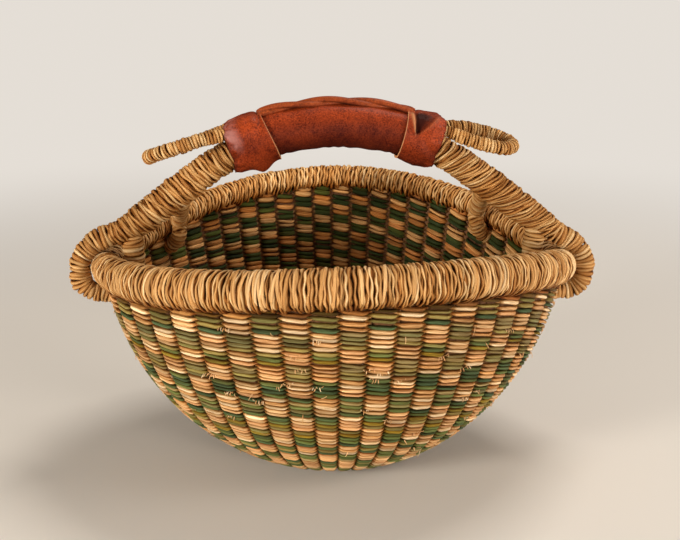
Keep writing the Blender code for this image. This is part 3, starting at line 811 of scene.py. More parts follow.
def build_stake_straws():
    """Flat straws of each stake, between the two layers of wefts: the wall's own line up each column,
    with a thin oval section most of a column wide, and narrow dark strips at the column edges as painted
    shade where the wefts cross. All take the dark core look, painted shade, at the end of the build."""
    rng = np.random.default_rng(17)
    count = 40
    column = np.arange(COLUMN_COUNT) + 0.5
    levels = np.linspace(0.0, 1.0, count)
    centre = np.stack([wall_point(column_stations(column), level) for level in levels], axis=1)
    beside = np.stack([wall_point(column_stations(column + 0.25), level) for level in levels], axis=1)
    run = unit(np.gradient(centre, axis=1))
    along = beside - centre
    width = np.linalg.norm(along, axis=-1) * 4
    out = unit(np.cross(along, run))
    half_wide = width * 0.42
    tint = np.broadcast_to(picked(rng, WRAP * 0.55, COLUMN_COUNT)[:, None], centre.shape)
    painted_shade_and_tone = np.full(half_wide.shape, 0.45)
    add_strands(
        "stake_straws", centre, unit(along), out, half_wide, 0 * half_wide + 0.0007, tint, painted_shade_and_tone, weave_finish, "weave"
    )
    centre = np.stack([wall_point(column_stations(column + 0.5), level) for level in levels], axis=1)
    add_strands(
        "stake_edge_straws", centre, unit(along), out, width * 0.15, 0 * half_wide + 0.0008, tint, painted_shade_and_tone + 0.4,
        weave_finish, "weave",
    )


def build_base():
    """Rows of the base, the same twist of two wefts on flat rings that close in on the middle."""
    rng = np.random.default_rng(11)
    per_column = 8
    stitches = 24
    samples = stitches * per_column
    columns = np.arange(samples) / per_column
    turn = columns / stitches * 2 * math.pi
    ray = np.stack([np.cos(turn), np.sin(turn), 0 * turn], axis=-1)
    down = np.broadcast_to(-UP, ray.shape)
    rows = []
    for row in range(int((BASE_RADIUS - 0.0015) / ROW_PITCH)):
        radius = BASE_RADIUS - (row + 0.5) * ROW_PITCH
        for weft in (0, 1):
            phase = weft_phase(columns, weft)
            bowed = weft_bow(phase)
            show = np.abs(bowed)
            half_tall, half_deep = weft_section(phase, ROW_PITCH)
            centre = ray * (radius + 0.0006 * np.sin(phase))[:, None]
            centre = centre + UP * (BASE_MIDDLE - bowed * WEFT_SWING)[:, None]
            kinds = NATURAL if (weft + row // 4) % 2 else DYES["green"]
            tint = strand_tints(rng, kinds, samples, per_column)
            # Painted shade where a weft crosses its partner.
            painted_shade_and_tone = np.clip(1 - show * 1.9, 0, 1) * 0.55
            rows.append((centre, down, ray, half_deep, half_tall, tint, painted_shade_and_tone))
    stacked = [np.stack(values) for values in zip(*rows)]
    # Painted shade along each weft's edges, between the rows.
    add_strands(
        "weave_base", *stacked, weave_finish, "weave", ("woven_bowl",), closed=True, sides=8, edges=(0, 0.86)
    )


# Wrapped straw

SAMPLES_PER_TURN = 34
WRAP_STRAY = 0.00038
WRAP_SWELL = 0.00022
UNDER_LAYER_DEPTH = 0.0009
RING_OVERSIZE = 0.0007

RIM_PITCH = 0.00228
RIM_STRAW = 0.00104
RIM_HANG = 0.0024
RIM_HANG_REST = 0.0006
RIM_QUARTERS = 4
OVERLAY_COUNT = 110
OVERLAY_ROWS = 16
OVERLAY_LIFT = 0.0002
OVERLAY_SUNK = 0.0022
OVERLAY_STRAWS = (0.0008, 0.00115)
# Painted light: the rim's rear turns are tinted paler, the more so towards the back.
REAR_PAINTED_LIGHT = 0.32
REAR_PAINTED_LIGHT_REACH = (0.03, 0.11)

ARM_WRAP_START = 0.046
ARM_PITCHES = {-1: 0.0027, 1: 0.0022}
ARM_STRAW_SHARE = 0.475
ARM_SLANTS = {-1: (-0.0008, -0.0012), 1: (0.0004, 0.0062)}
ARM_UNDER = (0.0021, 0.00112)
RING_WRAP = (0.0026, 0.00160)
RING_SLANTS = (0.0006, 0.0006)
REAR_LEG_WRAP = (0.0026, 0.00180)
REAR_LEG_UNDER = (0.0022, 0.0019)
LOOP_WRAP = (0.0021, 0.00116)


def bell(value, middle, width):
    """1 at the middle, falling away on both sides as a Gaussian of that width."""
    return np.exp(-(((value - middle) / width) ** 2))


def lengths_along(points):
    """How far along a line of points each point lies."""
    return np.concatenate([[0], np.cumsum(np.linalg.norm(np.diff(points, axis=0), axis=1))])


def read_off(places, known, rows):
    """Rows of values at places between the known ones."""
    return np.stack([np.interp(places, known, column) for column in rows.T], axis=-1)


def spun(across, rise, angles, half_across=1.0, half_rise=1.0):
    """Points of an ellipse about the origin at angles, with its half sizes along two axes."""
    return across * (half_across * np.cos(angles))[..., None] + rise * (half_rise * np.sin(angles))[..., None]


def rim_run(angles):
    """Way that the rim's line runs at angles, as a short step."""
    return rim_line(angles + 0.004) - rim_line(angles - 0.004)


def path_frames(rows):
    """Way of a line and two axes square to it, carried along it without twist."""
    run = unit(np.gradient(rows[:, :3], axis=0))
    first = np.cross(run[0], [0.0, 1.0, 0.0])
    if np.linalg.norm(first) < 0.3:
        first = np.cross(run[0], [1.0, 0.0, 0.0])
    axes = [unit(first)]
    for direction in run[1:]:
        axes.append(unit(axes[-1] - direction * (axes[-1] @ direction)))
    up = np.array(axes)
    return run, up, np.cross(run, up)


def wound_unevenly(rng, q, turns, leaves):
    """How a wound straw strays, by turns counted in q: along the line as a share of the pitch, off it in
    metres, and its width as a share. Leaves is how often in a turn it swells and thins again."""

    def waver(rate, spare=3):
        return wandering(rng, q * rate, int(turns * rate) + spare)

    swell = np.sin(2 * math.pi * leaves * q + 2.5 * waver(1.7))
    shift = np.cos(2 * math.pi * leaves * q + 3.0 * waver(1.9))
    drift = 0.32 * waver(2.3) + 0.17 * shift
    lift = WRAP_STRAY * waver(3.1, 4) + WRAP_SWELL * swell
    fatness = 1 + 0.16 * waver(2.9) + 0.22 * swell
    return drift, lift, fatness


def turn_tints(rng, table, q, turns):
    """One tint for each turn, at turns counted in q."""
    return picked(rng, table, turns + 2)[np.floor(q).astype(int)]


def add_wound(name, strand, replaced):
    """A wound straw as a piece: its rows of points, axes, half sizes, tint and painted shade."""
    stacked = [rows[None] for rows in strand]
    # Painted shade at the sides of each turn, where it meets the next ones.
    add_strands(name, *stacked, straw_finish, "straw", (replaced,), sides=8, edges=(1.0, 0))


def wrap_line(name, replaced, rows, sizes, seed, slants=(0.0, 0.0), tidy=1.0, dark=0.0, leaves=3.5):
    """Straw wound round a line: a helix of the line's radius, one turn per pitch. Sizes are the pitch and
    the straw's half width. Each turn strays a little along the line and off it, and slants lean the turns
    over, from the line's start on. Dark is painted shade, for an under layer."""
    pitch, thick = sizes
    rng = np.random.default_rng(seed)
    lengths = lengths_along(rows[:, :3])
    turns = int(lengths[-1] / pitch)
    q = np.arange(turns * SAMPLES_PER_TURN + 1) / SAMPLES_PER_TURN
    theta = 2 * math.pi * q
    drift, lift, fatness = wound_unevenly(rng, q, turns, leaves)
    ends = np.minimum(1, np.minimum(q, turns - q) / 4)
    slant = np.interp(q / turns, (0, 0.35), slants) * (1 + 0.25 * wandering(rng, q / 4, turns // 4 + 2))
    along = q * pitch + drift * pitch * tidy + slant * np.cos(theta) * ends
    along = np.clip(along, 0, lengths[-1])
    ahead, above, beside = (unit(read_off(along, lengths, axes)) for axes in path_frames(rows))
    place = read_off(along, lengths, rows)
    radial = spun(above, beside, theta)
    centre = place[:, :3] + radial * (place[:, 3] - thick * 0.8 + lift * tidy)[:, None]
    tint = turn_tints(rng, WRAP, q, turns)
    # Random straw tone, plus painted shade for an under layer.
    painted_shade_and_tone = np.clip(0.06 + 0.10 * wandering(rng, q * 3, turns * 3 + 3) + dark, 0, 1)
    add_wound(name, (centre, ahead, radial, thick * fatness, thick * 0.8 * fatness, tint, painted_shade_and_tone), replaced)


def build_rim_wraps():
    """Straw wound round the rim, over an under layer of the same: for each turn the section's ellipse,
    swept on by one pitch of the rim's length, straying sideways and hanging lower by odd amounts where
    it enters the weave. Painted shade darkens the under layer and the lower part of each turn, under the rim."""
    fine = np.linspace(0, 1, 2400)
    fine_line = rim_line(rim_angles(np.mod(fine, 1.0)))
    lengths = lengths_along(fine_line)
    run = unit(np.gradient(fine_line, axis=0))
    turns = int(lengths[-1] / RIM_PITCH)
    turns -= turns % RIM_QUARTERS
    q = np.arange(turns * SAMPLES_PER_TURN + 1) / SAMPLES_PER_TURN
    theta = 2 * math.pi * q + math.pi / 2
    low = np.clip(-np.sin(theta), 0, 1)
    edge = np.minimum(1, np.minimum(q, turns - q) / 4)
    quarter = turns * SAMPLES_PER_TURN // RIM_QUARTERS
    for layer, sunk, dark in (("rim_wrap", 0.0, 0.0), ("rim_under_wrap", UNDER_LAYER_DEPTH, 0.22)):
        rng = np.random.default_rng(23 + len(layer))
        drift, lift, fatness = wound_unevenly(rng, q, turns, 5.5)
        drift = drift + low * wandering(rng, q * 1.1, int(turns * 1.1) + 3) * 0.60
        share = (q + drift * edge - 0.30 * np.sin(theta)) / turns
        station = np.interp(np.mod(share, 1.0) * lengths[-1], lengths, fine)
        angle = rim_angles(np.mod(station, 1.0))
        across, rise = rim_axes(angle)
        width, thickness = rim_halves(angle)
        reach = lift * edge - RIM_STRAW * 0.85 - sunk
        hang = low**3 * (wandering(rng, q + 0.5, turns + 3, -0.5, 1.0) * RIM_HANG - RIM_HANG_REST) * edge
        line = rim_line(angle)
        centre = line + spun(across, rise, theta, width + reach, thickness + reach + hang)
        thick = RIM_STRAW * fatness * (1 - 0.20 * low**2)
        tint = turn_tints(rng, WRAP * 1.04, q, turns)
        # Painted light, paler at the rear of the rim.
        tint = tint * (1 + REAR_PAINTED_LIGHT * ramp(line[:, 1], *REAR_PAINTED_LIGHT_REACH))[:, None]
        # Painted shade on the under layer and on each turn's lower part, under the rim, with a little random tone.
        painted_shade_and_tone = np.clip(0.02 + dark + 0.62 * low**2 + 0.12 * wandering(rng, q * 3, turns * 3 + 3), 0, 1)
        ahead = unit(read_off(station, fine, run))
        strand = (centre, ahead, spun(across, rise, theta), thick, thick * 0.85, tint, painted_shade_and_tone)
        for number in range(RIM_QUARTERS):
            part = slice(number * quarter, (number + 1) * quarter + 1)
            add_wound(f"{layer}_{number + 1}", [rows[part] for rows in strand], "rim_binding")


def build_rim_overlay():
    """Single straws that cross a few turns of the rim's wrapping at a slant, over its top and outside."""
    rng = np.random.default_rng(31)
    start = np.sort(rng.uniform(0, 1, OVERLAY_COUNT))[:, None]
    sweep = np.linspace(0, 1, OVERLAY_ROWS)[None]
    first = rng.uniform(math.radians(100), math.radians(150), OVERLAY_COUNT)[:, None]
    last = rng.uniform(math.radians(-62), math.radians(-25), OVERLAY_COUNT)[:, None]
    theta = first + (last - first) * sweep
    lean = rng.uniform(-0.006, 0.006, OVERLAY_COUNT)[:, None]
    angle = rim_angles(np.mod(start + lean * (sweep - 0.5), 1.0))
    across, rise = rim_axes(angle)
    width, thickness = rim_halves(angle)
    taper = np.sin(math.pi * (0.06 + 0.88 * sweep)) ** 0.4
    thick = rng.uniform(*OVERLAY_STRAWS, OVERLAY_COUNT)[:, None] * taper
    reach = OVERLAY_LIFT - (1 - np.sin(math.pi * sweep) ** 0.35) * OVERLAY_SUNK
    centre = rim_line(angle) + spun(across, rise, theta, width + reach, thickness + reach)
    tint = np.broadcast_to(picked(rng, WRAP * 1.1, OVERLAY_COUNT)[:, None], centre.shape)
    add_strands(
        "rim_overlay", centre, unit(rim_run(angle)), spun(across, rise, theta), thick, thick * 0.8, tint,
        np.full(theta.shape, 0.05), straw_finish, "straw", sides=6,
    )


def build_handle_wraps():
    """The wrappings of the arch, the tip rings, the rear legs and the finger loops."""
    under = np.array([0, 0, 0, UNDER_LAYER_DEPTH])
    for side, name in SIDE_NAMES.items():
        arm = arch_rows[side * arch_rows[:, 0] > ARM_WRAP_START][::side]
        arm_sizes = (ARM_PITCHES[side], ARM_PITCHES[side] * ARM_STRAW_SHARE)
        slants = ARM_SLANTS[side]
        ring = ring_rows[side] + [0, 0, 0, RING_OVERSIZE]
        leg = rear_leg_line(side)
        leg_node = f"rear_leg_binding_{name}"
        loop = loop_line(side, LOOP_SEEN_ROLLS[side])
        wrap_line(f"arm_wrap_{name}", "handle_binding", arm, arm_sizes, 40 + side, slants)
        wrap_line(
            f"arm_under_wrap_{name}", "handle_binding", arm - under, ARM_UNDER, 44 + side, slants, dark=0.3
        )
        wrap_line(
            f"tip_ring_wrap_{name}", f"tip_ring_binding_{name}", ring, RING_WRAP, 50 + side, RING_SLANTS,
            tidy=0.6, leaves=2,
        )
        wrap_line(f"rear_leg_wrap_{name}", leg_node, leg, REAR_LEG_WRAP, 60 + side, tidy=0.45, leaves=2)
        wrap_line(
            f"rear_leg_under_wrap_{name}", leg_node, leg - under, REAR_LEG_UNDER, 64 + side, tidy=0.6,
            dark=0.2, leaves=2,
        )
        loop_node = f"loop_binding_{name}"
        wrap_line(f"loop_wrap_{name}", loop_node, loop, LOOP_WRAP, 70 + side, tidy=0.45, leaves=1.5)


# Leather

LEATHER_WALL = 0.0018
SLEEVE_RADIUS = 0.01292
SLEEVE_TIGHTNESS = 0.0002
SLEEVE_PUCKER = 0.00022
SLEEVE_SWELL = 0.00018
SLEEVE_CREASE = 0.00007
SEAM_DEPTH = 0.0006

CUFF_SLACK = 0.0006
CUFF_BLEND_REACH = 0.002
CUFF_SHARPNESS = 900.0
CUFF_INNER_SHIFTS = {-1: 0.0030, 1: 0.0024}
CUFF_OUTER_SHIFTS = {-1: 0.0, 1: 0.0030}
CUFF_EDGE_SLANTS = {-1: 0.0042, 1: 0.0012}
CUFF_EDGE_WAVE = 0.0006
CUFF_SWELL = 0.00030
CUFF_FOLD = 0.00016
CUFF_GATHER = 0.00035
CUFF_LIP = 0.0003
CUFF_BULGES = {-1: 0.0042, 1: 0.0004}
CUFF_CLOSING = 0.0012
CUFF_SHOULDERS = {-1: 0.0022, 1: 0.0}
# How strong the painted sheen, a highlight, is on each cuff.
CUFF_SHEENS = {-1: 0.6, 1: 0.072}
TUCK_TOP = math.radians(118)
TUCK_TIP = math.radians(163)
TUCK_DEPTH = 0.0019
TUCK_LIP = 0.0013
TUCK_PLEAT = 0.00035

LACE_HALF_LENGTH = 0.0455
LACE_TAPER_END = 0.0470
LACE_TAPER = 0.004
LACE_SWING = 0.0013
LACE_SPREAD = 0.0021
LACE_SIDE_SHIFT = 0.0012
LACE_HALF_WIDTH = 0.0030
LACE_HALF_THICKNESS = 0.0021


def faces_round(index):
    """Faces between neighbouring rows of a grid of point numbers that is closed round."""
    here, ahead = index[:-1], index[1:]
    face = [here, ahead, np.roll(ahead, -1, axis=1), np.roll(here, -1, axis=1)]
    return np.stack(face, axis=-1).reshape(-1, 4)


def add_shell(name, outer, inner, attributes, replaced):
    """A leather tube from its outer and inner point grids, rows by turns, closed round and at its ends."""
    count = outer.shape[0] * outer.shape[1]
    index = np.arange(count).reshape(outer.shape[:2])
    lining = index + count
    quads = [faces_round(index), faces_round(lining)[:, ::-1]]
    for row, way in ((0, 1), (-1, -1)):
        face = [lining[row], index[row], np.roll(index[row], -1), np.roll(lining[row], -1)]
        quads.append(np.stack(face[::way], axis=-1))
    points = np.concatenate([outer.reshape(-1, 3), inner.reshape(-1, 3)])
    doubled = {key: np.tile(np.clip(value, 0, 1).reshape(-1), 2) for key, value in attributes.items()}
    add_mesh(name, points, np.concatenate(quads), leather_finish, (replaced,), (), doubled)


def rumple(rng, along, around, terms, low, high):
    """A soft uneven surface: a sum of sine ripples with random directions and phases."""
    total = np.zeros_like(along)
    for _ in range(terms):
        total += np.sin(
            along * rng.uniform(low, high) * rng.choice([-1, 1])
            + around * rng.integers(1, 6)
            + rng.uniform(0, 2 * math.pi)
        )
    return total / math.sqrt(terms)


def build_sleeve():
    """The sleeve: a tube round the arch of the grip, a little uneven, pulled in at the seam on top and
    puckered along its underside. Painted light lies on its top, and painted shade under it and along the seam."""
    rng = np.random.default_rng(81)
    rows, turns = ((150, 120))
    reach = np.linspace(-SLEEVE_HALF_LENGTH, SLEEVE_HALF_LENGTH, rows)
    along, around = np.meshgrid(reach, np.arange(turns) * 2 * math.pi / turns, indexing="ij")
    under = -np.sin(around)
    pucker = np.sin(along * 620 + 2 * np.sin(along * 150)) * ramp(under, 0.2, 1.0) * SLEEVE_PUCKER
    swell = rumple(rng, along * 60, around, 5, 0.5, 2.0) * SLEEVE_SWELL
    creases = rumple(rng, along * 300, around * 0.4, 4, 0.8, 2.0) * SLEEVE_CREASE
    seam = bell(around, math.pi / 2, 0.14) * SEAM_DEPTH
    radius = SLEEVE_RADIUS + LEATHER_WALL - SLEEVE_TIGHTNESS + swell + creases + pucker - seam
    sideways, upwards = arch_axes(reach)[1:]
    ways = spun(sideways[:, None], upwards[:, None], around)
    line = arch_at(reach)[:, None, :3]
    # Lighter on top as painted light; painted shade underneath and in the seam's crease.
    painted_top_light_and_wear = 0.75 * ramp(np.cos(around - math.pi / 2), -0.15, 0.75)
    shade = ramp(under, 0.0, 1.0) * 0.40 + 0.20 * ramp(under, -1.0, 0.0)
    painted_shade_and_tone = shade + bell(around, math.pi / 2, 0.10) * 0.5
    outer = line + ways * radius[..., None]
    add_shell("sleeve_leather", outer, line + ways * SLEEVE_RADIUS, {"painted_top_light_and_wear": painted_top_light_and_wear, "painted_shade_and_tone": painted_shade_and_tone}, "grip_sleeve")


def cuff_outline(reach, around, side):
    """Radius of a cuff's section at an angle: the soft maximum of the round outline of the arm and those
    of the two loop tails."""
    share = np.clip((np.abs(reach) - TAIL_START_REACH) / (CUFF_OUTER_REACH - TAIL_START_REACH), 0, 1)
    over_sleeve = (SLEEVE_RADIUS + LEATHER_WALL) * 1.03
    arm = arch_at(side * np.abs(reach))[..., 3]
    round_arm = over_sleeve + (arm * 1.06 + CUFF_SLACK - over_sleeve) * share
    spread, lift, tail = tail_place(reach)
    grown = ramp(np.abs(reach), SLEEVE_HALF_LENGTH - CUFF_BLEND_REACH, TAIL_START_REACH + CUFF_BLEND_REACH)
    tails = np.abs(spread * np.cos(around)) + lift * np.sin(around) + tail + CUFF_SLACK
    soft = np.exp(CUFF_SHARPNESS * round_arm) + grown * np.exp(CUFF_SHARPNESS * tails)
    return np.log(soft) / CUFF_SHARPNESS


def tuck(share, around):
    """The pressed fold on top of the right cuff, whose mouth narrows to a tip between two lips: how far
    it lifts the leather, how much painted shade darkens its hollow, and how much its lips take the pale
    colour of the cut edges, one lip more than the other."""
    drop = (around - TUCK_TOP) / (TUCK_TIP - TUCK_TOP)
    half = 0.27 * np.clip(1 - drop, 0, 1) ** 0.8 + 0.03
    across = (share - 0.45 + 0.13 * np.clip(drop, 0, 1)) / half
    inside = ramp(drop, -0.45, 0.05) * (1 - ramp(drop, 0.86, 1.06))
    dent = inside * np.clip(1 - across**2, 0, 1) ** 0.7
    lips = bell(np.abs(across), 1.12, 0.22) * ramp(drop, -0.3, 0.1) * (1 - ramp(drop, 0.95, 1.2))
    pleats = np.sin(around * 26 + share * 9) * ramp(share, 0.6, 0.95) * bell(drop, 0.5, 0.7)
    lift = TUCK_LIP * lips + TUCK_PLEAT * pleats - TUCK_DEPTH * dent
    # Painted shade in the tuck's hollow.
    dark = ramp(dent, 0.1, 0.7) * (0.98 - 0.45 * ramp(across, 0.0, 0.8))
    return lift, dark, 0.75 * lips * np.where(across < 0, 1.0, 0.15)


def build_cuffs():
    """The cuffs: leather drawn over each end of the sleeve, the arm and the two loop tails, a little
    uneven, gathered at the outer end and with a lip at the inner one. The left one bulges below, and
    the right one is tucked in on top."""
    for side, side_name in SIDE_NAMES.items():
        rng = np.random.default_rng(90 + side)
        rows, turns = ((110, 168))
        angles = np.arange(turns) * 2 * math.pi / turns
        share, around = np.meshgrid(np.linspace(0, 1, rows), angles, indexing="ij")
        top = np.sin(around)
        inner_edge = CUFF_INNER_REACH - CUFF_INNER_SHIFTS[side] + CUFF_EDGE_SLANTS[side] * top
        outer_edge = CUFF_OUTER_REACH - CUFF_OUTER_SHIFTS[side] + CUFF_EDGE_WAVE * np.sin(3 * around + 1)
        reach = side * (inner_edge + (outer_edge - inner_edge) * share)
        swell = rumple(rng, share * 3, around, 5, 0.6, 2.2) * CUFF_SWELL
        folds = rumple(rng, share * 2.0, around * 2, 4, 0.5, 1.5) * CUFF_FOLD
        gather = ramp(share, 0.55, 1.0) * np.sin(around * 13 + 2 * np.sin(around * 3)) * CUFF_GATHER
        lip = (1 - ramp(share, 0.0, 0.05)) * CUFF_LIP
        bulge = bell(around, 1.5 * math.pi, 0.42) * bell(share, 0.42, 0.17) * CUFF_BULGES[side]
        close = ramp(share, 0.86, 1.0) * CUFF_CLOSING
        shoulder = CUFF_SHOULDERS[side] * ramp(share, 0.45, 1.0) * np.clip(top, 0, 1)
        lift, dark, fold_edge = tuck(share, around) if side > 0 else (0.0, 0.0, 0.0)
        radius = cuff_outline(reach, around, side) + LEATHER_WALL
        radius = radius + swell + folds + gather + lip + bulge - close - shoulder + lift
        sideways, upwards = arch_axes(reach, 1.0)[1:]
        ways = spun(sideways, upwards, around)
        line = arch_at(reach)[..., :3]
        attributes = {
            # Lighter on top as painted light, with random wear; painted shade underneath, in the tuck and at the
            # gathered outer end; a painted sheen on top near the outer end.
            "painted_top_light_and_wear": 0.35 + 0.35 * ramp(top, -0.2, 0.9) + 0.25 * rumple(rng, share * 4, around, 3, 0.5, 2),
            "painted_shade_and_tone": ramp(-top, -0.4, 1.0) * 0.30 + dark + ramp(share, 0.93, 1.0) * 0.4,
            "cut": 1 - ramp(share, 0.0, 0.016) + fold_edge,
            "sheen": ramp(share, 0.55, 0.85) * ramp(top, -0.25, 0.5) * CUFF_SHEENS[side],
        }
        outer = line + ways * radius[..., None]
        inner = line + ways * (radius - LEATHER_WALL * 0.9)[..., None]
        add_shell(f"cuff_leather_{side_name}", outer, inner, attributes, f"cuff_{side_name}")


def build_lace():
    """Two flat thongs twisted round each other on the seam: helices about a line that follows the
    sleeve's top, with an oval section that lies flat against the leather."""
    rows, sides = 240, 14
    reach = np.linspace(-LACE_HALF_LENGTH, LACE_HALF_LENGTH, rows)
    sideways, upwards = arch_axes(reach)[1:]
    angles = np.arange(sides) * 2 * math.pi / sides
    index = np.arange(rows * sides).reshape(rows, sides)
    taper = ramp(LACE_TAPER_END - np.abs(reach), 0.0, LACE_TAPER)
    lit = np.tile(np.sin(angles), rows)
    for start, letter in ((0.6, "a"), (0.6 + math.pi, "b")):
        turn = start + np.linspace(0, 2 * math.pi * 1.5, rows)
        lift = SLEEVE_RADIUS + LEATHER_WALL + LACE_SWING + LACE_SWING * np.sin(turn)
        beside = LACE_SPREAD * np.cos(turn) - LACE_SIDE_SHIFT
        centre = arch_at(reach)[:, :3] + upwards * lift[:, None] + sideways * beside[:, None]
        half_wide = LACE_HALF_WIDTH * (0.75 + 0.25 * np.abs(np.sin(turn))) * (0.45 + 0.55 * taper)
        half_thick = LACE_HALF_THICKNESS * (0.55 + 0.45 * taper)
        ring = spun(sideways[:, None], upwards[:, None], angles, half_wide[:, None], half_thick[:, None])
        # Each thong lighter on top as painted light, and darker underneath as painted shade.
        add_mesh(
            f"lace_thong_{letter}", (centre[:, None] + ring).reshape(-1, 3), faces_round(index), lace_finish,
            (f"lace_strand_{letter}",), (index[0][::-1], index[-1]),
            {"painted_top_light_and_wear": 0.35 + 0.4 * lit, "painted_shade_and_tone": 0.8 * np.clip(-lit, 0, 1)},
        )


# Loose ends

FRAY_PLACES = [
    (34.3, 25.5), (33.4, 36.7), (33.6, 46.0), (33.1, 57.0), (34.2, 60.0), (31.9, 71.0),
    (36.3, 56.0), (36.1, 49.0), (36.6, 51.0), (37.3, 58.0), (38.9, 44.0), (30.2, 52.0),
]
TUFT_COUNT = 46
TUFT_STRAW_COUNT = 5
LONE_COUNT = 44
FRAY_LENGTHS = (0.0018, 0.0034)
LONE_LENGTHS = (0.0035, 0.0075)
FRAY_ROOT = 0.0034
FRAY_BOW = 0.0006
FRAY_HALF_WIDTH = 0.00036


def build_frays():
    """Cut ends of spliced straws that stand out between two rows, a few side by side, and some longer
    single ones: straight tapered stubs on a slight curve, by column and millimetres below the rim."""
    rng = np.random.default_rng(101)
    spread = [(rng.uniform(0, COLUMN_COUNT), rng.uniform(14, 125)) for _ in range(TUFT_COUNT)]
    tufts = np.array(FRAY_PLACES + spread)
    places = np.repeat(tufts, TUFT_STRAW_COUNT, axis=0)
    offsets = np.tile(np.arange(TUFT_STRAW_COUNT) - 2, len(tufts)) * 0.085
    places[:, 0] += offsets + rng.uniform(-0.03, 0.03, len(places))
    places[:, 1] += rng.uniform(-0.5, 0.5, len(places))
    length = rng.uniform(*FRAY_LENGTHS, len(places))
    lone = np.column_stack([rng.uniform(0, COLUMN_COUNT, LONE_COUNT), rng.uniform(14, 140, LONE_COUNT)])
    places = np.concatenate([places, lone])
    length = np.concatenate([length, rng.uniform(*LONE_LENGTHS, LONE_COUNT)])
    levels = levels_below_rim(places[:, 1] / 1000)[0]
    frames = [wall_axes(column_stations(column), level)[:3] for column, level in zip(places[:, :1], levels)]
    base, rise, out = (np.concatenate([frame[k] for frame in frames]) for k in range(3))
    beside = np.cross(rise, out)
    tip = out * 0.55 + rise * rng.choice([-0.9, -0.7, 0.8], len(base))[:, None]
    tip = unit(tip + beside * rng.uniform(-0.6, 0.6, len(base))[:, None])
    share = np.linspace(0, 1, 6)
    path = base[:, None] + out[:, None] * FRAY_ROOT + tip[:, None] * (length[:, None] * share)[..., None]
    path = path + out[:, None] * (FRAY_BOW * np.sin(math.pi * share))[None, :, None]
    wide = np.broadcast_to(FRAY_HALF_WIDTH * (1 - 0.5 * share), path.shape[:2])
    sideways = np.broadcast_to(unit(np.cross(tip, out))[:, None], path.shape)
    above = np.broadcast_to(unit(np.cross(np.cross(tip, out), tip))[:, None], path.shape)
    tint = np.broadcast_to(picked(rng, NATURAL * 1.15, len(base))[:, None], path.shape)
    add_strands(
        "loose_ends", path, sideways, above, wide, wide * 0.7, tint, 0 * wide, weave_finish, "weave", sides=4
    )


build_weave()
build_stake_straws()
build_base()
build_rim_wraps()
build_rim_overlay()
build_handle_wraps()
build_sleeve()
build_cuffs()
build_lace()
build_frays()

# Cores and stake straws take the dark core look: painted shade.
for piece in bpy.data.objects:
    shaded = "core" in piece.name or piece.name.startswith("stake_")
    if shaded and piece.type == "MESH" and piece.data.materials:
        piece.data.materials[0] = core_finish

# Floor and light

FLOOR_REACH = 4.0


def build_floor():
    """A plain pale floor. Far from the object it shows its own pale colour to the camera, evenly."""
    mesh = bpy.data.meshes.new("floor")
    corners = [(-FLOOR_REACH, -FLOOR_REACH, 0), (FLOOR_REACH, -FLOOR_REACH, 0), (FLOOR_REACH, FLOOR_REACH, 0)]
    mesh.from_pydata(corners + [(-FLOOR_REACH, FLOOR_REACH, 0)], [], [[0, 1, 2, 3]])
    look = Look("floor")
    look.finish(Base_Color=(0.84, 0.80, 0.75, 1), Roughness=0.7, Specular_IOR_Level=0.2)
    place = look.node("ShaderNodeTexCoord", 3)
    far = look.node("ShaderNodeVectorMath", 1, {"operation": "LENGTH"}, Vector=place).ramp(0.30, 1.1)
    seen = look.node("ShaderNodeLightPath", "Is Camera Ray")
    pale = look.node("ShaderNodeEmission", 0, Color=(0.78, 0.73, 0.67, 1), Strength=1.0)
    mixer = look.tree.nodes.new("ShaderNodeMixShader")
    plug(look.tree, mixer.inputs[0], far * seen)
    look.tree.links.new(look.shader.outputs[0], mixer.inputs[1])
    look.tree.links.new(pale.out, mixer.inputs[2])
    look.tree.links.new(mixer.outputs[0], look.tree.nodes["Material Output"].inputs[0])
    mesh.materials.append(look.material)
    floor = bpy.data.objects.new("floor", mesh)
    bpy.context.scene.collection.objects.link(floor)


build_floor()


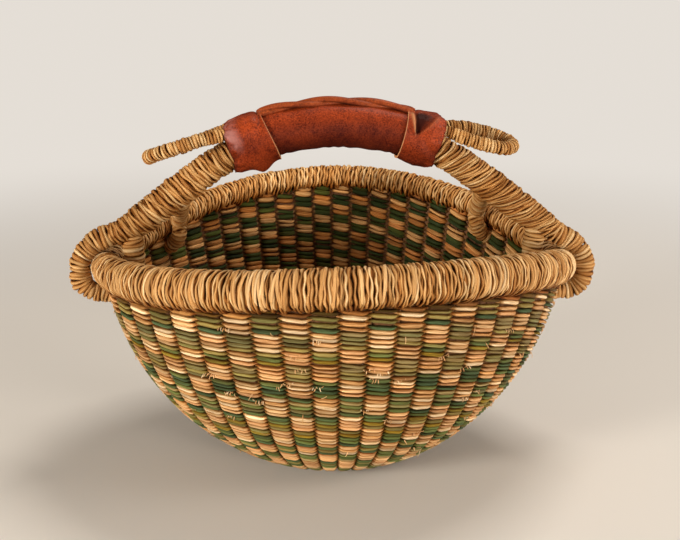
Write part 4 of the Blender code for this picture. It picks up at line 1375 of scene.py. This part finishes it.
def add_area(name, place, target, size, power, colour):
    """A soft square light aimed at a point."""
    data = bpy.data.lights.new(name, "AREA")
    data.energy = power
    data.size = size
    data.color = colour
    lamp = bpy.data.objects.new(name, data)
    lamp.location = place
    aim = Vector(target) - Vector(place)
    lamp.rotation_euler = aim.to_track_quat("-Z", "Y").to_euler()
    bpy.context.scene.collection.objects.link(lamp)


add_area("key_light", (-1.30, -0.85, 0.37), (0, 0, 0.10), 0.36, 21.5, (1.0, 0.93, 0.82))
add_area("front_light", (0.95, -1.50, 0.24), (0, 0, 0.10), 0.45, 16.5, (1.0, 0.93, 0.84))
add_area("side_light", (1.45, -0.40, 0.60), (0, 0, 0.12), 0.7, 9, (1.0, 0.93, 0.84))
add_area("top_light", (0.35, 0.30, 1.30), (0, 0, 0.15), 0.5, 8, (1.0, 0.93, 0.84))


def studio_world():
    """Even light from all round, and a pale background where the camera looks past the floor."""
    world = bpy.data.worlds.new("studio")
    world.use_nodes = True
    tree = world.node_tree
    back = tree.nodes["Background"]
    seen = tree.nodes.new("ShaderNodeLightPath").outputs["Is Camera Ray"]
    strength = tree.nodes.new("ShaderNodeMapRange")
    tree.links.new(seen, strength.inputs[0])
    for slot, value in zip(strength.inputs[1:5], (0.0, 1.0, 0.15, 0.80)):
        slot.default_value = value
    back.inputs[0].default_value = (1.0, 0.90, 0.80, 1)
    tree.links.new(strength.outputs[0], back.inputs[1])
    bpy.context.scene.world = world


studio_world()

# Camera

camera_data = bpy.data.cameras.new("camera")
camera_data.lens = CAMERA_LENS
camera_data.sensor_width = 36.0
camera_data.shift_x, camera_data.shift_y = CAMERA_SHIFT
camera_data.clip_start = 0.01
camera = bpy.data.objects.new("camera", camera_data)
back = Vector(
    (
        math.sin(CAMERA_TURN) * math.cos(CAMERA_PITCH),
        -math.cos(CAMERA_TURN) * math.cos(CAMERA_PITCH),
        math.sin(CAMERA_PITCH),
    )
)
camera.location = Vector(CAMERA_TARGET) + back * CAMERA_DISTANCE
camera.rotation_euler = (-back).to_track_quat("-Z", "Y").to_euler()
bpy.context.scene.collection.objects.link(camera)
bpy.context.scene.camera = camera
bpy.context.scene.view_settings.view_transform = "Standard"
